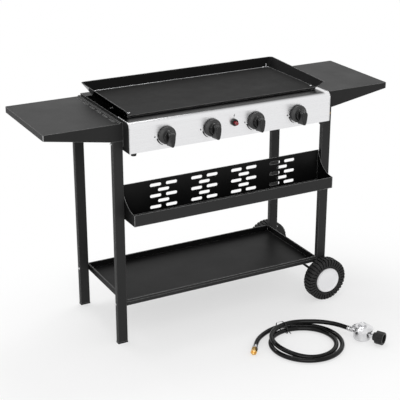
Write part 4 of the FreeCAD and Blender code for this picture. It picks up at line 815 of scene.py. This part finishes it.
def weld_beads():
    """Small weld beads at the plate's front corners and low in its right rear corner."""
    # Each row: where it starts, the step from bead to bead, and how many there are.
    rows = (
        ((-0.3940, PLATE_FRONT + 0.012, 0.8965), (0.0062, 0.0006, 0.0), 3),
        ((0.3880, PLATE_FRONT + 0.012, 0.8965), (0.0040, 0.0, 0.0), 2),
        ((0.3862, PLATE_BACK + 0.0007, 0.8970), (0.0012, 0.0009, 0.0036), 3),
        ((0.3700, PLATE_BACK - 0.0012, 0.8960), (0.0040, 0.0, 0.0), 3),
    )

    def build(bm):
        for place, step, count in rows:
            run = Vector(step)
            turn = run.to_track_quat("Z", "Y").to_matrix().to_4x4()
            for number in range(count):
                size = (0.0030 + 0.0004 * (number % 2), 0.0026, 0.0034, 1)
                matrix = Matrix.Translation(Vector(place) + run * number) @ turn @ Matrix.Diagonal(size)
                made = bmesh.ops.create_icosphere(bm, subdivisions=2, radius=1.0)["verts"]
                bmesh.ops.transform(bm, matrix=matrix, verts=made)

    beads = mesh_piece("weld_beads", build, WELD_AND_HIGHLIGHT_STEEL, 50)
    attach(beads, "griddle")


plate_fold_highlight()
weld_beads()


def panel_edges():
    """The panel's two bright folded ends, from the flange round the top corner and down the face."""
    face, straight_top = PANEL_FACE + 0.0002, PANEL_TOP - PANEL_CORNER
    profile = [(FLANGE_REAR - 0.012 * step, PANEL_TOP) for step in range(6)]
    for step in range(7):
        angle = math.radians(15 * step)
        y, z = face + PANEL_CORNER * (1 - math.sin(angle)), straight_top + PANEL_CORNER * math.cos(angle)
        profile.append((y, z))
    profile += [(face, straight_top - 0.0154 * step) for step in range(1, 6)]
    profile.append((face, PANEL_BOTTOM))
    for name, side in (("left", -1), ("right", 1)):
        line = [(side * PANEL_HALF, y, z) for y, z in profile]
        strip = tube(f"panel_edge_{name}", line, 0.0011, FINISHES["stainless"])
        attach(strip, "stand")


def slot_rims():
    """The rolled rims of the slots beside the tables' inner edges, painted lighter as a painted highlight.
    """
    line_x, length, width, pitch, count = 0.447, 0.040, 0.006, 0.0594, 6
    radius, half = width / 2, (length - width) / 2
    for name, side in (("left", -1), ("right", 1)):
        data = bpy.data.curves.new(f"table_slot_rims_{name}", "CURVE")
        data.dimensions = "3D"
        for number in range(count):
            x, y = side * line_x, SHIFT_Y + pitch * (number - (count - 1) / 2)
            points = []
            for end, first in ((1, 0), (-1, 180)):
                for step in range(7):
                    angle = math.radians(first + 30 * step)
                    across, along = radius * math.cos(angle), end * half + radius * math.sin(angle)
                    points.append((x + across, y + along, TABLE_TOP))
            draw_spline(data, "POLY", points).use_cyclic_u = True
        data.bevel_depth = 0.0008
        data.bevel_resolution = 2
        rims = link(data.name, data, LIT_RIM)
        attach(rims, "stand")


def bolt_sockets():
    """The hexagon sockets in the heads of the frame's bolts, as dark hexagons: painted shade in the
    recesses.
    """
    radius, depth = 0.0019, 0.00055

    def build(bm):
        for side in (-1, 1):
            for y in (SHIFT_Y - BOLT_DEPTH, SHIFT_Y + BOLT_DEPTH):
                for z in BOLT_HEIGHTS:
                    near, far = [], []
                    for step in range(6):
                        angle = math.radians(60 * step)
                        corner = (y + radius * math.cos(angle), z + radius * math.sin(angle))
                        near.append((side * BOLT_FACE, *corner))
                        far.append((side * (BOLT_FACE - depth), *corner))
                    prism(bm, near, far)

    # The hexagons are painted nearly black: painted shade.
    sockets = mesh_piece("bolt_sockets", build, SHADED_ZINC)
    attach(sockets, "stand")


panel_edges()
slot_rims()
bolt_sockets()


# Studio

def floor():
    """A pale floor that keeps the object's shadow and fades to white far from it."""
    def build(bm):
        bmesh.ops.create_grid(bm, x_segments=1, y_segments=1, size=14.0)

    graph = Graph("studio_floor")
    # The floor fades in an oval that takes in the object and the hose before it.
    where = graph.add("NewGeometry")
    drawn = graph.add("Mapping", {"vector_type": "POINT"}, Vector=where.outputs["Position"],
                      Location=(0.1, 0.35, 0.0), Scale=(0.8, 1.25, 1.0))
    far = graph.add("VectorMath", {"operation": "LENGTH"}, _0=drawn)
    fade = graph.spread(far.outputs["Value"], 0.62, 1.25, 0.56, 1.0)
    fade.interpolation_type = "SMOOTHSTEP"
    rays = graph.add("LightPath")
    seen = graph.add("Math", {"operation": "MAXIMUM"}, _0=rays.outputs["Is Camera Ray"],
                     _1=rays.outputs["Is Glossy Ray"])
    factor = graph.times(fade, seen)
    mottle = graph.tint(graph.spread(graph.noise(3.0), 0.3, 0.7), rgb(0.90), rgb(0.92))
    matt = graph.add("BsdfDiffuse", Color=mottle)
    white = graph.add("Emission", Color=rgb(1.0), Strength=1.0)
    mix = graph.add("MixShader", _0=factor, _1=matt.outputs[0], _2=white.outputs[0])
    graph.links.new(mix.outputs[0], graph.output.inputs["Surface"])
    mesh_piece("floor", build, graph.material)


def world():
    """White surroundings for the eye and for reflections, a softer sky for the light they give."""
    data = bpy.data.worlds.new("World")
    data.use_nodes = True
    nodes, links = data.node_tree.nodes, data.node_tree.links
    nodes.clear()
    out = nodes.new("ShaderNodeOutputWorld")
    mix = nodes.new("ShaderNodeMixShader")
    rays = nodes.new("ShaderNodeLightPath")
    seen = nodes.new("ShaderNodeMath")
    seen.operation = "MAXIMUM"
    links.new(rays.outputs["Is Camera Ray"], seen.inputs[0])
    links.new(rays.outputs["Is Glossy Ray"], seen.inputs[1])
    links.new(seen.outputs[0], mix.inputs[0])
    for socket, strength in ((1, 0.78), (2, 1.0)):
        sky = nodes.new("ShaderNodeBackground")
        sky.inputs["Color"].default_value = rgb(1.0)
        sky.inputs["Strength"].default_value = strength
        links.new(sky.outputs[0], mix.inputs[socket])
    links.new(mix.outputs[0], out.inputs["Surface"])
    SCENE.world = data


def lamp(name, place, target, size, power):
    """A rectangular soft light aimed at a point."""
    data = bpy.data.lights.new(name, "AREA")
    data.shape = "RECTANGLE"
    data.size, data.size_y = size
    data.energy = power
    light = bpy.data.objects.new(name, data)
    light.location = place
    light.rotation_euler = (Vector(target) - Vector(place)).to_track_quat("-Z", "Y").to_euler()
    SCENE.collection.objects.link(light)


SCENE.view_settings.view_transform = "Standard"
floor()
world()
lamp("top_softbox", (0.3, 0.9, 3.3), (0.0, 0.0, 0.4), (1.3, 0.9), 24.0)
lamp("front_softbox", (-1.6, -3.6, 1.9), (0.0, 0.0, 0.5), (3.0, 2.4), 52.0)
lamp("edge_strip", (-1.4, 2.4, 3.0), (0.0, 0.0, 0.4), (2.0, 0.12), 12.0)
